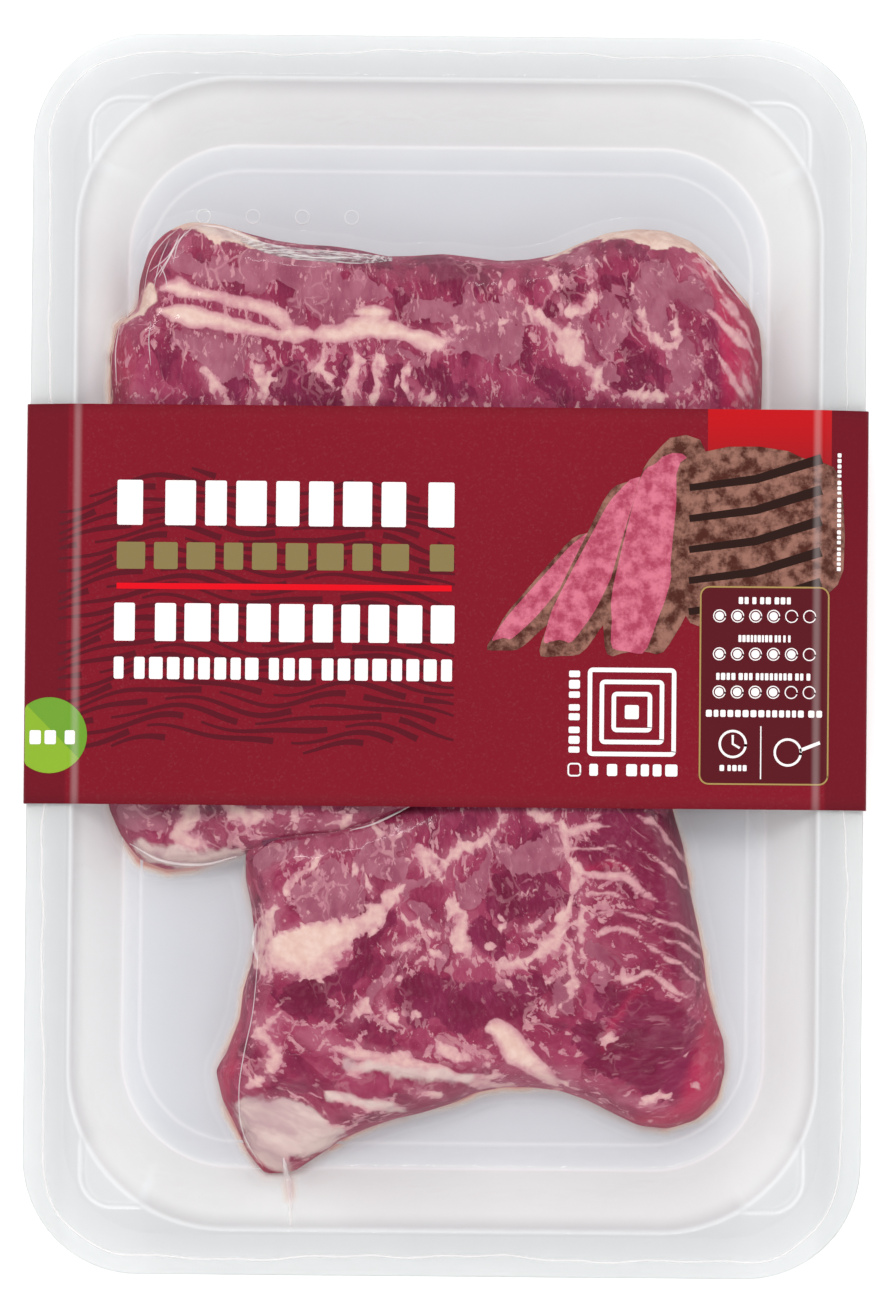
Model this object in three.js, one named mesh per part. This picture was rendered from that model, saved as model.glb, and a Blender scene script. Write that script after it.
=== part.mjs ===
// Two tri-tip beef steaks, vacuum-sealed under a clear skin film on a shallow
// translucent tray, with a printed cardboard sleeve round the middle.
// Millimetres. +X is to the right, +Y is towards the end where the larger steak
// lies, +Z is up. The origin is under the centre of the tray, on the table.
import * as THREE from "three";

// Tray, seen from above: a rounded rectangle with a sloping flange
const TRAY_WIDTH = 180.8;
const TRAY_LENGTH = 268.4;
const TRAY_CORNER = 25;
const TRAY_WALL = 0.8;
const TRAY_BASE_TOP = 1.6;
const RIM_HEIGHT = 22;
const LIP_WIDTH = 1.4;
const LIP_DROP = 4.3;
const FLANGE_WIDTH = 9.1;
const FLANGE_DROP = 3.1;
const RIDGE_CORNER = 20;
const POCKET_INSET = { side: 12.7, end: 14.5 };
const POCKET_CORNER = 7;
const POCKET_DEPTH = 1.4;
const POCKET_WALL = 1.3;
const WELL_CORNER = 34;
const FOOT_INSET = { side: 20.4, end: 22.6 };
const FOOT_HEIGHT = 1.2;
const FLOOR_INSET = { side: 24.4, end: 28.2 };

// Film, steaks and sleeve
const GAP = 0.3;
const FILM_THICKNESS = 0.3;
const FILM_INSET = 3;
const STEAK_TOP = 20.3;
const SHOULDER_WIDTH = 6.5;
const FREE_EDGE = 0.1;
const SEAM_EDGE = 0.72;
const SEAM_GAP = 0.6;
const STEAKS_TURN = 0.5;
const SLEEVE_LENGTH = 86.3;
const SLEEVE_CENTRE_Y = 10.1;
const SLEEVE_CARD = 0.5;

// Steps between the points of the meshes
const OUTLINE_STEP = 6.2;
const STEAK_STEP = 7.5;
const CORNER_STEPS = 10;
const STRAIGHT_STEPS = { side: 22, end: 8 };

// The line where the two steaks meet, from the left to the right. This and the two
// outlines below are turned by STEAKS_TURN degrees anticlockwise before use
const SEAM = [
  [-42.5, -42], [-35, -39.5], [-22, -37.8], [-10, -34],
  [5, -26.5], [21, -14.5], [36, 0], [52, 14],
];

// Outside of the larger steak, from the seam's right end up, over and down
const UPPER_EDGE = [
  [52, 14], [62, 25], [67, 39], [68, 54], [68, 68], [66.5, 75], [63, 78.5],
  [59.5, 84], [55, 88.5], [50, 91.5], [42, 92.5], [33, 91], [24.5, 87],
  [12.5, 85.5], [0.5, 87], [-13, 86.5], [-22, 88.5], [-31, 89], [-40, 90.5],
  [-49.5, 93.5], [-57, 94], [-62, 92], [-64, 88.5], [-66, 82], [-67, 75],
  [-70.5, 72], [-72, 67.5], [-72, 54], [-73.5, 33], [-74.5, 4], [-73.5, -22],
  [-72.5, -32], [-70.5, -38], [-66, -44], [-60.5, -46], [-53, -45], [-42.5, -42],
];

// Outside of the smaller steak, from the seam's left end down and round
const LOWER_EDGE = [
  [-42.5, -42], [-42.5, -49], [-41, -58.5], [-41.5, -67], [-43.5, -73],
  [-44.5, -81], [-48, -87.5], [-49.5, -91.5], [-47, -98], [-43.5, -105],
  [-41, -111], [-37, -112.5], [-31.5, -110.5], [-24, -105], [-13.5, -100.5],
  [-1.5, -97.5], [8.5, -93.5], [18, -93], [27.5, -94.5], [36, -98.5],
  [44, -102], [52.5, -101], [58, -96.5], [60, -89.5], [59.5, -83], [56.5, -75],
  [55, -63.5], [52.5, -52], [51, -42], [48.5, -33], [46.5, -22], [48, -7],
  [51, 4], [52, 14],
];

// Places where a steak's upper side is lower (mm) or, below zero, higher
const UPPER_DIPS = [
  { x: -60, y: -38, reach: 15, drop: 5 },
  { x: -58, y: 86, reach: 12, drop: 3 },
  { x: 52, y: 84, reach: 14, drop: 2.6 },
  { x: 2, y: 78, reach: 13, drop: 1.4 },
];
const LOWER_DIPS = [
  { x: -37, y: -106, reach: 11, drop: 6.5 },
  { x: 50, y: -92, reach: 15, drop: 3.2 },
  { x: 22, y: -86, reach: 12, drop: 1.6 },
  { x: -34, y: -66, reach: 10, drop: -0.6 },
];

const smoothStep = (from, to, value) => THREE.MathUtils.smoothstep(value, from, to);
const mix = THREE.MathUtils.lerp;

// A tray ring: half width, half length, corner radius and height of the upper side
function ring(inset, corner, height) {
  return {
    width: TRAY_WIDTH / 2 - inset.side,
    length: TRAY_LENGTH / 2 - inset.end,
    corner,
    height,
  };
}

const even = (inset) => ({ side: inset, end: inset });
const edgeRing = ring(even(0), TRAY_CORNER, RIM_HEIGHT - LIP_DROP);
const lipRing = ring(even(LIP_WIDTH), TRAY_CORNER - LIP_WIDTH, RIM_HEIGHT - FLANGE_DROP);
const ridgeRing = ring(even(FLANGE_WIDTH), RIDGE_CORNER, RIM_HEIGHT);
const wellRing = ring(even(FLANGE_WIDTH + 0.8), WELL_CORNER, RIM_HEIGHT);
const footRing = ring(FOOT_INSET, 24.5, TRAY_BASE_TOP + FOOT_HEIGHT);
const floorRing = ring(FLOOR_INSET, 21.5, TRAY_BASE_TOP);
const pocketRing = ring(POCKET_INSET, POCKET_CORNER, RIM_HEIGHT);
const trayRings = [edgeRing, lipRing, ridgeRing, wellRing, footRing, floorRing];

// How far a point is outside a ring; below zero it is inside
function outside(shape, x, y) {
  const dx = Math.abs(x) - shape.width + shape.corner;
  const dy = Math.abs(y) - shape.length + shape.corner;
  const beyond = Math.hypot(Math.max(dx, 0), Math.max(dy, 0));
  return beyond + Math.min(Math.max(dx, dy), 0) - shape.corner;
}

// Height of the tray's upper side. In each corner a pocket lies below the flange
function trayTop(x, y) {
  const past = trayRings.map((shape) => outside(shape, x, y));
  const away = outside(pocketRing, x, y);
  const pocket = smoothStep(0, 1.5, past[3] - away) * smoothStep(0, POCKET_WALL, -away);
  const heights = trayRings.map((shape) => shape.height);
  heights[3] -= POCKET_DEPTH * pocket;
  if (past[0] >= 0) return heights[0];
  const inner = past.findIndex((distance) => distance >= 0);
  if (inner < 0) return TRAY_BASE_TOP;
  if (inner === 3) return RIM_HEIGHT - POCKET_DEPTH * pocket;
  const share = -past[inner - 1] / (past[inner] - past[inner - 1]);
  return mix(heights[inner - 1], heights[inner], share);
}

// Lines from inside the tray outwards, anticlockwise, fanned out in the corners.
// Each ring has its points where these lines cross it
function traySpokes() {
  const cornerX = wellRing.width - WELL_CORNER;
  const cornerY = wellRing.length - WELL_CORNER;
  const corners = [[1, 1], [-1, 1], [-1, -1], [1, -1]];
  return corners.flatMap(([sideX, sideY], index) => {
    const fan = Array.from({ length: CORNER_STEPS + 1 }, (_, i) => {
      const angle = (Math.PI / 2) * (index + i / CORNER_STEPS);
      return { x: sideX * cornerX, y: sideY * cornerY, angle };
    });
    const along = index % 2 === 0;
    const steps = along ? STRAIGHT_STEPS.end : STRAIGHT_STEPS.side;
    const straight = Array.from({ length: steps - 1 }, (_, i) => {
      const turn = 1 - (2 * (i + 1)) / steps;
      const last = fan.at(-1);
      return { x: last.x * (along ? turn : 1), y: last.y * (along ? 1 : turn), angle: last.angle };
    });
    return [...fan, ...straight];
  });
}

const spokes = traySpokes();

function ringPoints(shape) {
  return spokes.map(({ x, y, angle }) => {
    let near = 0;
    let far = TRAY_WIDTH;
    for (let i = 0; i < 40; i++) {
      const middle = (near + far) / 2;
      const past = outside(shape, x + middle * Math.cos(angle), y + middle * Math.sin(angle));
      if (past > 0) far = middle;
      else near = middle;
    }
    return [x + near * Math.cos(angle), y + near * Math.sin(angle)];
  });
}

// Evenly spaced points along an open curve through the given ones, both ends kept
function alongCurve(given) {
  const up = new THREE.Vector3(0, 0, 1);
  const turn = THREE.MathUtils.degToRad(STEAKS_TURN);
  const corners = given.map(([x, y]) => new THREE.Vector3(x, y, 0).applyAxisAngle(up, turn));
  const curve = new THREE.CatmullRomCurve3(corners, false, "centripetal");
  curve.arcLengthDivisions = 40 * given.length;
  const steps = Math.round(curve.getLength() / OUTLINE_STEP);
  return curve.getSpacedPoints(steps).map((point) => [point.x, point.y]);
}

// Moves each point of an open line to its left by a distance
function shiftLeft(line, distance) {
  return line.map(([x, y], i) => {
    const before = line[Math.max(i - 1, 0)];
    const after = line[Math.min(i + 1, line.length - 1)];
    const run = Math.hypot(after[0] - before[0], after[1] - before[1]);
    const moveX = -(after[1] - before[1]) / run;
    const moveY = (after[0] - before[0]) / run;
    return [x + moveX * distance, y + moveY * distance];
  });
}

// The two outlines share the seam's points, with a narrow gap between them
const seamLine = alongCurve(SEAM);
const upperOutline = [
  ...shiftLeft(seamLine, SEAM_GAP / 2),
  ...alongCurve(UPPER_EDGE).slice(1, -1),
];
const lowerOutline = [
  ...shiftLeft(seamLine, -SEAM_GAP / 2).reverse(),
  ...alongCurve(LOWER_EDGE).slice(1, -1),
];

// How far a point is inside a closed outline; below zero it is outside
function inside(outline, x, y) {
  let nearest = Infinity;
  let within = false;
  outline.forEach(([ax, ay], i) => {
    const [bx, by] = outline[(i + 1) % outline.length];
    const runX = bx - ax;
    const runY = by - ay;
    const share = ((x - ax) * runX + (y - ay) * runY) / (runX * runX + runY * runY);
    const t = THREE.MathUtils.clamp(share, 0, 1);
    nearest = Math.min(nearest, Math.hypot(x - ax - t * runX, y - ay - t * runY));
    if ((ay > y) !== (by > y) && x < ax + (runX * (y - ay)) / runY) within = !within;
  });
  return within ? nearest : -nearest;
}

// Height of a steak's upper side: a rounded shoulder, then a gently uneven top.
// Beside the other steak the shoulder starts high, because they press together
function steakTop(x, y, steak) {
  const underside = trayTop(x, y) + GAP;
  const depth = Math.max(inside(steak.outline, x, y), 0);
  const beside = -inside(steak.neighbour, x, y);
  const edge = mix(SEAM_EDGE, FREE_EDGE, smoothStep(2, 9, beside));
  const rest = 1 - Math.min(depth / SHOULDER_WIDTH, 1);
  const shoulder = edge + (1 - edge) * Math.sqrt(1 - rest * rest);
  let crown = STEAK_TOP + 0.45 * Math.sin(x / 9 + y / 21) + 0.4 * Math.sin(y / 8 - x / 23);
  for (const dip of steak.dips) {
    const away = Math.hypot(x - dip.x, y - dip.y) / dip.reach;
    crown -= dip.drop * Math.exp(-away * away);
  }
  return mix(underside, crown, shoulder);
}

const upperSteak = { outline: upperOutline, neighbour: lowerOutline, dips: UPPER_DIPS };
const lowerSteak = { outline: lowerOutline, neighbour: upperOutline, dips: LOWER_DIPS };

// Points of a closed outline moved inwards, without those that come too near its other side
function insetPoints(outline, distance) {
  const loop = [outline.at(-1), ...outline, outline[0]];
  return shiftLeft(loop, distance)
    .slice(1, -1)
    .filter(([x, y]) => Math.abs(inside(outline, x, y)) > 0.93 * Math.abs(distance));
}

// Points in even rows, each row shifted by half a step
function rows(step, keep) {
  const points = [];
  const rowStep = step * Math.sqrt(0.75);
  const count = Math.floor(TRAY_LENGTH / 2 / rowStep);
  for (let row = -count; row <= count; row++) {
    const shift = row % 2 === 0 ? 0 : step / 2;
    for (let x = shift - TRAY_WIDTH / 2; x < TRAY_WIDTH / 2; x += step) {
      if (keep(x, row * rowStep)) points.push([x, row * rowStep]);
    }
  }
  return points;
}

// Points of a steak seen from above: its outline, the rings of its shoulder, its top
function steakPoints(outline) {
  const shoulderInsets = [0.5, 1.6, 3.4, 6];
  const top = rows(STEAK_STEP, (x, y) => inside(outline, x, y) > 6 + 0.6 * STEAK_STEP);
  return [...outline, ...shoulderInsets.flatMap((inset) => insetPoints(outline, inset)), ...top];
}

// Joins points seen from above into triangles, no circle round one holding another point
function triangulate(points) {
  const far = 1e4;
  const all = [...points, [-far, -far], [far, -far], [0, far]];
  const circleHolds = ([a, b, c], x, y) => {
    const ax = all[a][0] - x;
    const ay = all[a][1] - y;
    const bx = all[b][0] - x;
    const by = all[b][1] - y;
    const cx = all[c][0] - x;
    const cy = all[c][1] - y;
    const lift = (ax * ax + ay * ay) * (bx * cy - by * cx)
      - (bx * bx + by * by) * (ax * cy - ay * cx)
      + (cx * cx + cy * cy) * (ax * by - ay * bx);
    return lift > 1e-5;
  };
  let triangles = [[points.length, points.length + 1, points.length + 2]];
  points.forEach(([x, y], index) => {
    const kept = [];
    const rim = new Map();
    for (const corners of triangles) {
      if (!circleHolds(corners, x, y)) {
        kept.push(corners);
        continue;
      }
      corners.forEach((from, i) => {
        const to = corners[(i + 1) % 3];
        if (!rim.delete(`${to} ${from}`)) rim.set(`${from} ${to}`, [from, to, index]);
      });
    }
    triangles = [...kept, ...rim.values()];
  });
  return triangles.filter((corners) => Math.max(...corners) < points.length);
}

// Triangles whose middle lies inside an outline
function keepInside(triangles, points, outline) {
  return triangles.filter((corners) => {
    const x = corners.reduce((sum, i) => sum + points[i][0], 0) / 3;
    const y = corners.reduce((sum, i) => sum + points[i][1], 0) / 3;
    return inside(outline, x, y) > 0;
  });
}

function meshFrom(name, corners, triangles, look) {
  const geometry = new THREE.BufferGeometry();
  geometry.setAttribute("position", new THREE.Float32BufferAttribute(corners.flat(), 3));
  geometry.setIndex(triangles.flat());
  geometry.computeVertexNormals();
  const mesh = new THREE.Mesh(geometry, new THREE.MeshStandardMaterial(look));
  mesh.name = name;
  return mesh;
}

// A solid between an upper and a lower surface that share their first points' outline.
// Each surface is { points, triangles }, its points with a height
function slab(name, upper, lower, edgeCount, look) {
  const start = upper.points.length;
  const sides = [];
  for (let i = 0; i < edgeCount; i++) {
    const next = (i + 1) % edgeCount;
    sides.push([i, start + i, next], [next, start + i, start + next]);
  }
  const under = lower.triangles.map(([a, b, c]) => [start + a, start + c, start + b]);
  const corners = [...upper.points, ...lower.points];
  return meshFrom(name, corners, [...upper.triangles, ...under, ...sides], look);
}

function steak(name, cut, look) {
  const flat = steakPoints(cut.outline);
  const upper = {
    points: flat.map(([x, y]) => [x, y, steakTop(x, y, cut)]),
    triangles: keepInside(triangulate(flat), flat, cut.outline),
  };
  const clear = (x, y) => inside(cut.outline, x, y) > 3;
  const bends = [footRing, floorRing].flatMap(ringPoints).filter(([x, y]) => clear(x, y));
  const base = [...cut.outline, ...bends];
  const lower = {
    points: base.map(([x, y]) => [x, y, trayTop(x, y) + GAP]),
    triangles: keepInside(triangulate(base), base, cut.outline),
  };
  return slab(name, upper, lower, cut.outline.length, look);
}

// A thin solid that follows a surface, its second side moved along the surface's normals
function thinSheet(name, points, edgeCount, thickness, look) {
  const triangles = triangulate(points);
  const surface = meshFrom(name, points, triangles, look).geometry;
  const normal = surface.getAttribute("normal");
  const moved = points.map(([x, y, z], i) => [
    x + normal.getX(i) * thickness,
    y + normal.getY(i) * thickness,
    z + normal.getZ(i) * thickness,
  ]);
  const first = { points, triangles };
  const second = { points: moved, triangles };
  return thickness > 0
    ? slab(name, second, first, edgeCount, look)
    : slab(name, first, second, edgeCount, look);
}

// Points in the corner pockets, along the top and the foot of each pocket's outer edge
function pocketPoints() {
  const foot = {
    ...pocketRing,
    width: pocketRing.width - POCKET_WALL,
    length: pocketRing.length - POCKET_WALL,
    corner: POCKET_CORNER - POCKET_WALL,
  };
  const roomy = ([x, y]) => outside(wellRing, x, y) > 0.9;
  return [...ringPoints(pocketRing), ...ringPoints(foot)].filter(roomy);
}

function tray() {
  const flat = [
    ...ringPoints(edgeRing),
    ...pocketPoints(),
    ...trayRings.slice(1).flatMap(ringPoints),
    ...rows(26, (x, y) => outside(floorRing, x, y) < -13),
  ];
  const points = flat.map(([x, y]) => [x, y, trayTop(x, y)]);
  const look = { color: "#e4e4e8", roughness: 0.35, metalness: 0, transparent: true, opacity: 0.85 };
  return thinSheet("tray", points, ringPoints(edgeRing).length, -TRAY_WALL, look);
}

function film() {
  const edge = ring(even(FILM_INSET), TRAY_CORNER - FILM_INSET, 0);
  const clear = (x, y, room) =>
    inside(upperOutline, x, y) < -room && inside(lowerOutline, x, y) < -room;
  const bare = [edge, ridgeRing, wellRing, footRing, floorRing]
    .flatMap(ringPoints)
    .concat(pocketPoints())
    .filter(([x, y]) => clear(x, y, 2.4));
  const feet = [upperOutline, lowerOutline]
    .flatMap((outline) => insetPoints(outline, -1.6))
    .filter(([x, y]) => clear(x, y, 1.4));
  const floor = rows(22, (x, y) => clear(x, y, 9) && outside(floorRing, x, y) < -8);
  const onTray = [...bare, ...feet, ...floor].map(([x, y]) => [x, y, trayTop(x, y) + GAP]);
  const onSteaks = [upperSteak, lowerSteak].flatMap((cut) =>
    steakPoints(cut.outline).map(([x, y]) => [x, y, steakTop(x, y, cut) + GAP]));
  const look = { color: "#f2f0f2", roughness: 0.08, metalness: 0, transparent: true, opacity: 0.15 };
  const edgeCount = ringPoints(edge).length;
  return thinSheet("film", [...onTray, ...onSteaks], edgeCount, FILM_THICKNESS, look);
}

// Half of the sleeve's section from the middle of its top to the middle of its base,
// moved inwards by the card's thickness for the inner side
function sleeveSide(inwards) {
  const top = RIM_HEIGHT + GAP + FILM_THICKNESS + GAP + SLEEVE_CARD;
  const crease = TRAY_WIDTH / 2 - FLANGE_WIDTH;
  const reach = TRAY_WIDTH / 2 + GAP + SLEEVE_CARD;
  const lipTop = RIM_HEIGHT - FLANGE_DROP + 1.4;
  const lipFoot = RIM_HEIGHT - LIP_DROP - 1.6;
  const base = TRAY_WIDTH / 2 - FOOT_INSET.side + 1.5;
  return [
    [crease - 0.3 * inwards, top - inwards],
    [reach - 1.1 * inwards, lipTop - 0.5 * inwards],
    [reach - inwards, lipTop - 1.4],
    [reach - 1.1 * inwards, lipFoot + 0.4 * inwards],
    [base - 0.7 * inwards, inwards],
  ];
}

function sleeve() {
  const loop = (inwards) => {
    const right = sleeveSide(inwards);
    const left = right.map(([x, z]) => [-x, z]).reverse();
    return [...right, ...left].map(([x, z]) => new THREE.Vector2(x, z));
  };
  const section = new THREE.Shape(loop(0));
  section.holes.push(new THREE.Path(loop(SLEEVE_CARD).reverse()));
  const geometry = new THREE.ExtrudeGeometry(section, { depth: SLEEVE_LENGTH, bevelEnabled: false });
  geometry.rotateX(Math.PI / 2);
  const look = { color: "#8b2331", roughness: 0.45, metalness: 0 };
  const mesh = new THREE.Mesh(geometry, new THREE.MeshStandardMaterial(look));
  mesh.name = "sleeve";
  mesh.position.y = SLEEVE_CENTRE_Y + SLEEVE_LENGTH / 2;
  return mesh;
}

const meat = { color: "#a5405f", roughness: 0.3, metalness: 0 };
const group = new THREE.Group();
group.add(
  tray(),
  steak("steak_upper", upperSteak, meat),
  steak("steak_lower", lowerSteak, meat),
  film(),
  sleeve(),
);

export default group;
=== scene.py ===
"""Two raw tri-tip steaks sealed under skin film on a translucent tray, with a card sleeve.

Metres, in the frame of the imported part: +X to the right, +Y to the far end of the tray, +Z up.
"""

import math

import bmesh
import bpy
import numpy as np
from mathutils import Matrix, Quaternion, Vector, noise
from mathutils.bvhtree import BVHTree


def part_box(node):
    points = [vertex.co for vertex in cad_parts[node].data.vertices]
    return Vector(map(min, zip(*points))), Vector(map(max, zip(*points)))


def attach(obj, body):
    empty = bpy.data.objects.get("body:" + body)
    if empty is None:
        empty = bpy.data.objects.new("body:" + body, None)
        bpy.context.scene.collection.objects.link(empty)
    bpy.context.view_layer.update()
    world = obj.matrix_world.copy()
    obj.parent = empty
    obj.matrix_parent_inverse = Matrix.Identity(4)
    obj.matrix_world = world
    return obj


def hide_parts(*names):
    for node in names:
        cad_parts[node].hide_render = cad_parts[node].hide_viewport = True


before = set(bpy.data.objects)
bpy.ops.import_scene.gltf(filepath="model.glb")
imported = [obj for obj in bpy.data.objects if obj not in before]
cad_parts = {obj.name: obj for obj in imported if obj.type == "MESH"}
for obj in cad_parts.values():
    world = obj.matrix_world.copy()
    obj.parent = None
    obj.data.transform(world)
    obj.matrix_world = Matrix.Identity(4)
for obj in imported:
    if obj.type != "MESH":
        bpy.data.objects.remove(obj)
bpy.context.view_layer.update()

MM = 0.001

# The photograph: its frame, the tray's middle in it, its scale at the rim and its turn
PHOTO_WIDTH = 891
PHOTO_HEIGHT = 1311
TRAY_PIXEL_X = 446
TRAY_PIXEL_Y = 655.5
PIXEL = 0.2156 * MM
PHOTO_TURN = math.radians(0.5)

# Camera
CAMERA_DISTANCE = 1.6
CAMERA_ELEVATION = math.radians(88)
SENSOR = 36

# Lights: the room's, that of its ceiling and where it begins, from 0 at the horizon to 1 overhead
ROOM_LIGHT = 0.8
CEILING_LIGHT = 0.12
CEILING_FROM = (0.84, 0.95)
# Lamps: place and size in metres, power in watts
KEY_LAMP = ((-0.35, 1.2, 3.9), (2.2, 1.1), 82)
FILL_LAMP = ((0.3, -2.6, 3.0), (3.0, 2.0), 24)
GLINT_LAMP = ((-0.3, 1.3, 2.2), (0.5, 0.16), 1.6)
FLOOR_REACH = 3

# Tray: the rings of its upper side are inset from its outer edge, as side and end insets
TRAY_LOW, TRAY_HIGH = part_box("tray")
TRAY_HALF_WIDTH = TRAY_HIGH.x
TRAY_HALF_LENGTH = TRAY_HIGH.y
RIM = TRAY_HIGH.z
TRAY_WALL = 0.8 * MM
FLOOR_TOP = TRAY_LOW.z + TRAY_WALL
TRAY_CORNER = 25 * MM
FLANGE_WIDTH = 9.1 * MM
WELL_INSET = FLANGE_WIDTH + 0.8 * MM
WELL_CORNER = 34 * MM

SLEEVE_LOW, SLEEVE_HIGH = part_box("sleeve")
CARD = 0.5 * MM
# The card hugs the tray this much closer than its solid does
SLEEVE_HUG = 0.25 * MM
# Room left above the card for the print, and the height of one layer of it
PRINT_ROOM = 0.12 * MM
PRINT_LAYER = 0.03 * MM
# The sleeve's middle in the photograph
SLEEVE_PIXEL_X = 447.9
SLEEVE_PIXEL_Y = 609.2
# Where the sleeve's base ends, as an inset from the tray's edge, and its upright sides
SLEEVE_BASE_INSET = 18.9 * MM
SLEEVE_SIDE_LOW = 16.1 * MM
SLEEVE_SIDE_HIGH = 20.3 * MM
SLEEVE_RADII = (2 * MM, 1.2 * MM, 1.2 * MM, 3 * MM)
SLEEVE_ROWS = 24
# The print bends with the sleeve only past this width and above this height
BENDS_FROM = 70 * MM
BENDS_ABOVE = 17 * MM
# Millimetres from the middle to the painted highlight along each crease
CREASE_SHINE = 79.8
# Where the sleeve's left edge cuts the round badge off
BADGE_CUT = 27


def photo(x, y):
    """The place in the part's frame, in metres, of a pixel of the photograph."""
    right = (x - TRAY_PIXEL_X) * PIXEL
    up = (TRAY_PIXEL_Y - y) * PIXEL
    cos, sin = math.cos(PHOTO_TURN), math.sin(PHOTO_TURN)
    return right * cos - up * sin, right * sin + up * cos


def colour(code, alpha=1.0):
    """A linear colour from an sRGB hex value."""
    parts = [int(code[i : i + 2], 16) / 255 for i in (1, 3, 5)]
    linear = [p / 12.92 if p <= 0.04045 else ((p + 0.055) / 1.055) ** 2.4 for p in parts]
    return (*linear, alpha)


def add(tree, kind, inputs=None, **settings):
    """Adds a node: settings by name, inputs by name or number, each a value or a link."""
    node = tree.nodes.new(kind)
    for name, value in settings.items():
        setattr(node, name, value)
    for key, value in (inputs or {}).items():
        socket = node.inputs[key]
        if isinstance(value, bpy.types.NodeSocket):
            tree.links.new(value, socket)
        else:
            socket.default_value = value
    return node


def new_material(name):
    """An empty node material: its tree and its output node."""
    material = bpy.data.materials.new(name)
    material.use_nodes = True
    tree = material.node_tree
    tree.nodes.clear()
    return material, tree, add(tree, "ShaderNodeOutputMaterial")


def ramp(tree, value, stops):
    """A colour ramp from (position, hex colour) stops."""
    node = add(tree, "ShaderNodeValToRGB", {"Fac": value})
    elements = node.color_ramp.elements
    while len(elements) < len(stops):
        elements.new(0.5)
    for element, (position, code) in zip(elements, stops):
        element.position = position
        element.color = colour(code)
    return node.outputs["Color"]


def step(tree, value, low, high):
    """0 below low, 1 above high, smooth between."""
    limits = {"Value": value, "From Min": low, "From Max": high}
    return add(tree, "ShaderNodeMapRange", limits, interpolation_type="SMOOTHSTEP").outputs["Result"]


def calculate(tree, operation, first, second=0.0, third=0.0):
    """A number worked out from up to three others."""
    values = {0: first, 1: second, 2: third}
    return add(tree, "ShaderNodeMath", values, operation=operation).outputs["Value"]


def mix(tree, factor, first, second):
    """Mixes two colours: hex codes or links."""
    first, second = (colour(c) if isinstance(c, str) else c for c in (first, second))
    return add(tree, "ShaderNodeMix", {0: factor, 6: first, 7: second}, data_type="RGBA").outputs[2]


def object_place(tree, scale=(1, 1, 1), turn=0.0):
    """Object coordinates in millimetres, turned about Z, then stretched."""
    place = add(tree, "ShaderNodeTexCoord").outputs["Object"]
    spun = add(tree, "ShaderNodeMapping", {"Vector": place, "Rotation": (0, 0, turn)}).outputs[0]
    stretch = {"Vector": spun, "Scale": tuple(s / MM for s in scale)}
    return add(tree, "ShaderNodeMapping", stretch).outputs[0]


def along_axis(tree, place, axis):
    """How far a place lies along X, Y or Z."""
    return add(tree, "ShaderNodeSeparateXYZ", {"Vector": place}).outputs[axis]


def noise_at(tree, place, size, detail=3.0, roughness=0.5):
    """Noise whose blobs are about size millimetres across, from 0 to 1."""
    settings = {"Vector": place, "Scale": 1 / size, "Detail": detail, "Roughness": roughness}
    return add(tree, "ShaderNodeTexNoise", settings).outputs["Fac"]


def attribute(tree, name):
    """A value that the mesh holds at each of its points."""
    return add(tree, "ShaderNodeAttribute", attribute_name=name).outputs["Fac"]


def cover_with(tree, output, look, cover=None):
    """Ends a material with a Principled surface, which is clear where its cover is below 1."""
    shader = add(tree, "ShaderNodeBsdfPrincipled", look).outputs["BSDF"]
    if cover is not None:
        clear = add(tree, "ShaderNodeBsdfTransparent", {"Color": (1, 1, 1, 1)}).outputs[0]
        shader = add(tree, "ShaderNodeMixShader", {0: cover, 1: clear, 2: shader}).outputs[0]
    tree.links.new(shader, output.inputs["Surface"])


def link_mesh(name, mesh):
    """An object at the origin for a mesh."""
    piece = bpy.data.objects.new(name, mesh)
    bpy.context.scene.collection.objects.link(piece)
    return piece


def mesh_object(name, points, faces, edges=()):
    """A new object from points, faces and loose edges."""
    mesh = bpy.data.meshes.new(name)
    mesh.from_pydata([tuple(p) for p in points], edges, faces)
    mesh.validate()
    return link_mesh(name, mesh)


def finish_piece(piece, material=None, replaced=None, smooth=True):
    """Gives a piece its material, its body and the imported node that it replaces."""
    if material:
        piece.data.materials.clear()
        piece.data.materials.append(material)
    piece.data.polygons.foreach_set("use_smooth", [smooth] * len(piece.data.polygons))
    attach(piece, "root")
    if replaced:
        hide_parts(replaced)


def coordinates(piece):
    """The piece's points as rows of an array, in metres."""
    flat = np.empty(len(piece.data.vertices) * 3)
    piece.data.vertices.foreach_get("co", flat)
    return flat.reshape(-1, 3)


def set_coordinates(piece, points):
    piece.data.vertices.foreach_set("co", points.ravel())
    piece.data.update()


def set_attribute(piece, name, values, kind="FLOAT"):
    stored = piece.data.attributes.new(name, kind, "POINT")
    field = "value" if kind == "FLOAT" else "vector"
    stored.data.foreach_set(field, np.asarray(values, np.float32).ravel())


def apply_modifiers(piece):
    """Turns the piece and its modifiers into a plain mesh."""
    graph = bpy.context.evaluated_depsgraph_get()
    made = bpy.data.meshes.new_from_object(piece.evaluated_get(graph))
    piece.modifiers.clear()
    old = piece.data
    piece.data = made
    bpy.data.meshes.remove(old)


# Tray


def rounded_rectangle(half_width, half_length, corner, x, y):
    """How far points are outside a rounded rectangle; below zero they are inside."""
    dx = np.abs(x) - half_width + corner
    dy = np.abs(y) - half_length + corner
    return np.hypot(np.maximum(dx, 0), np.maximum(dy, 0)) + np.minimum(np.maximum(dx, dy), 0) - corner


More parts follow.
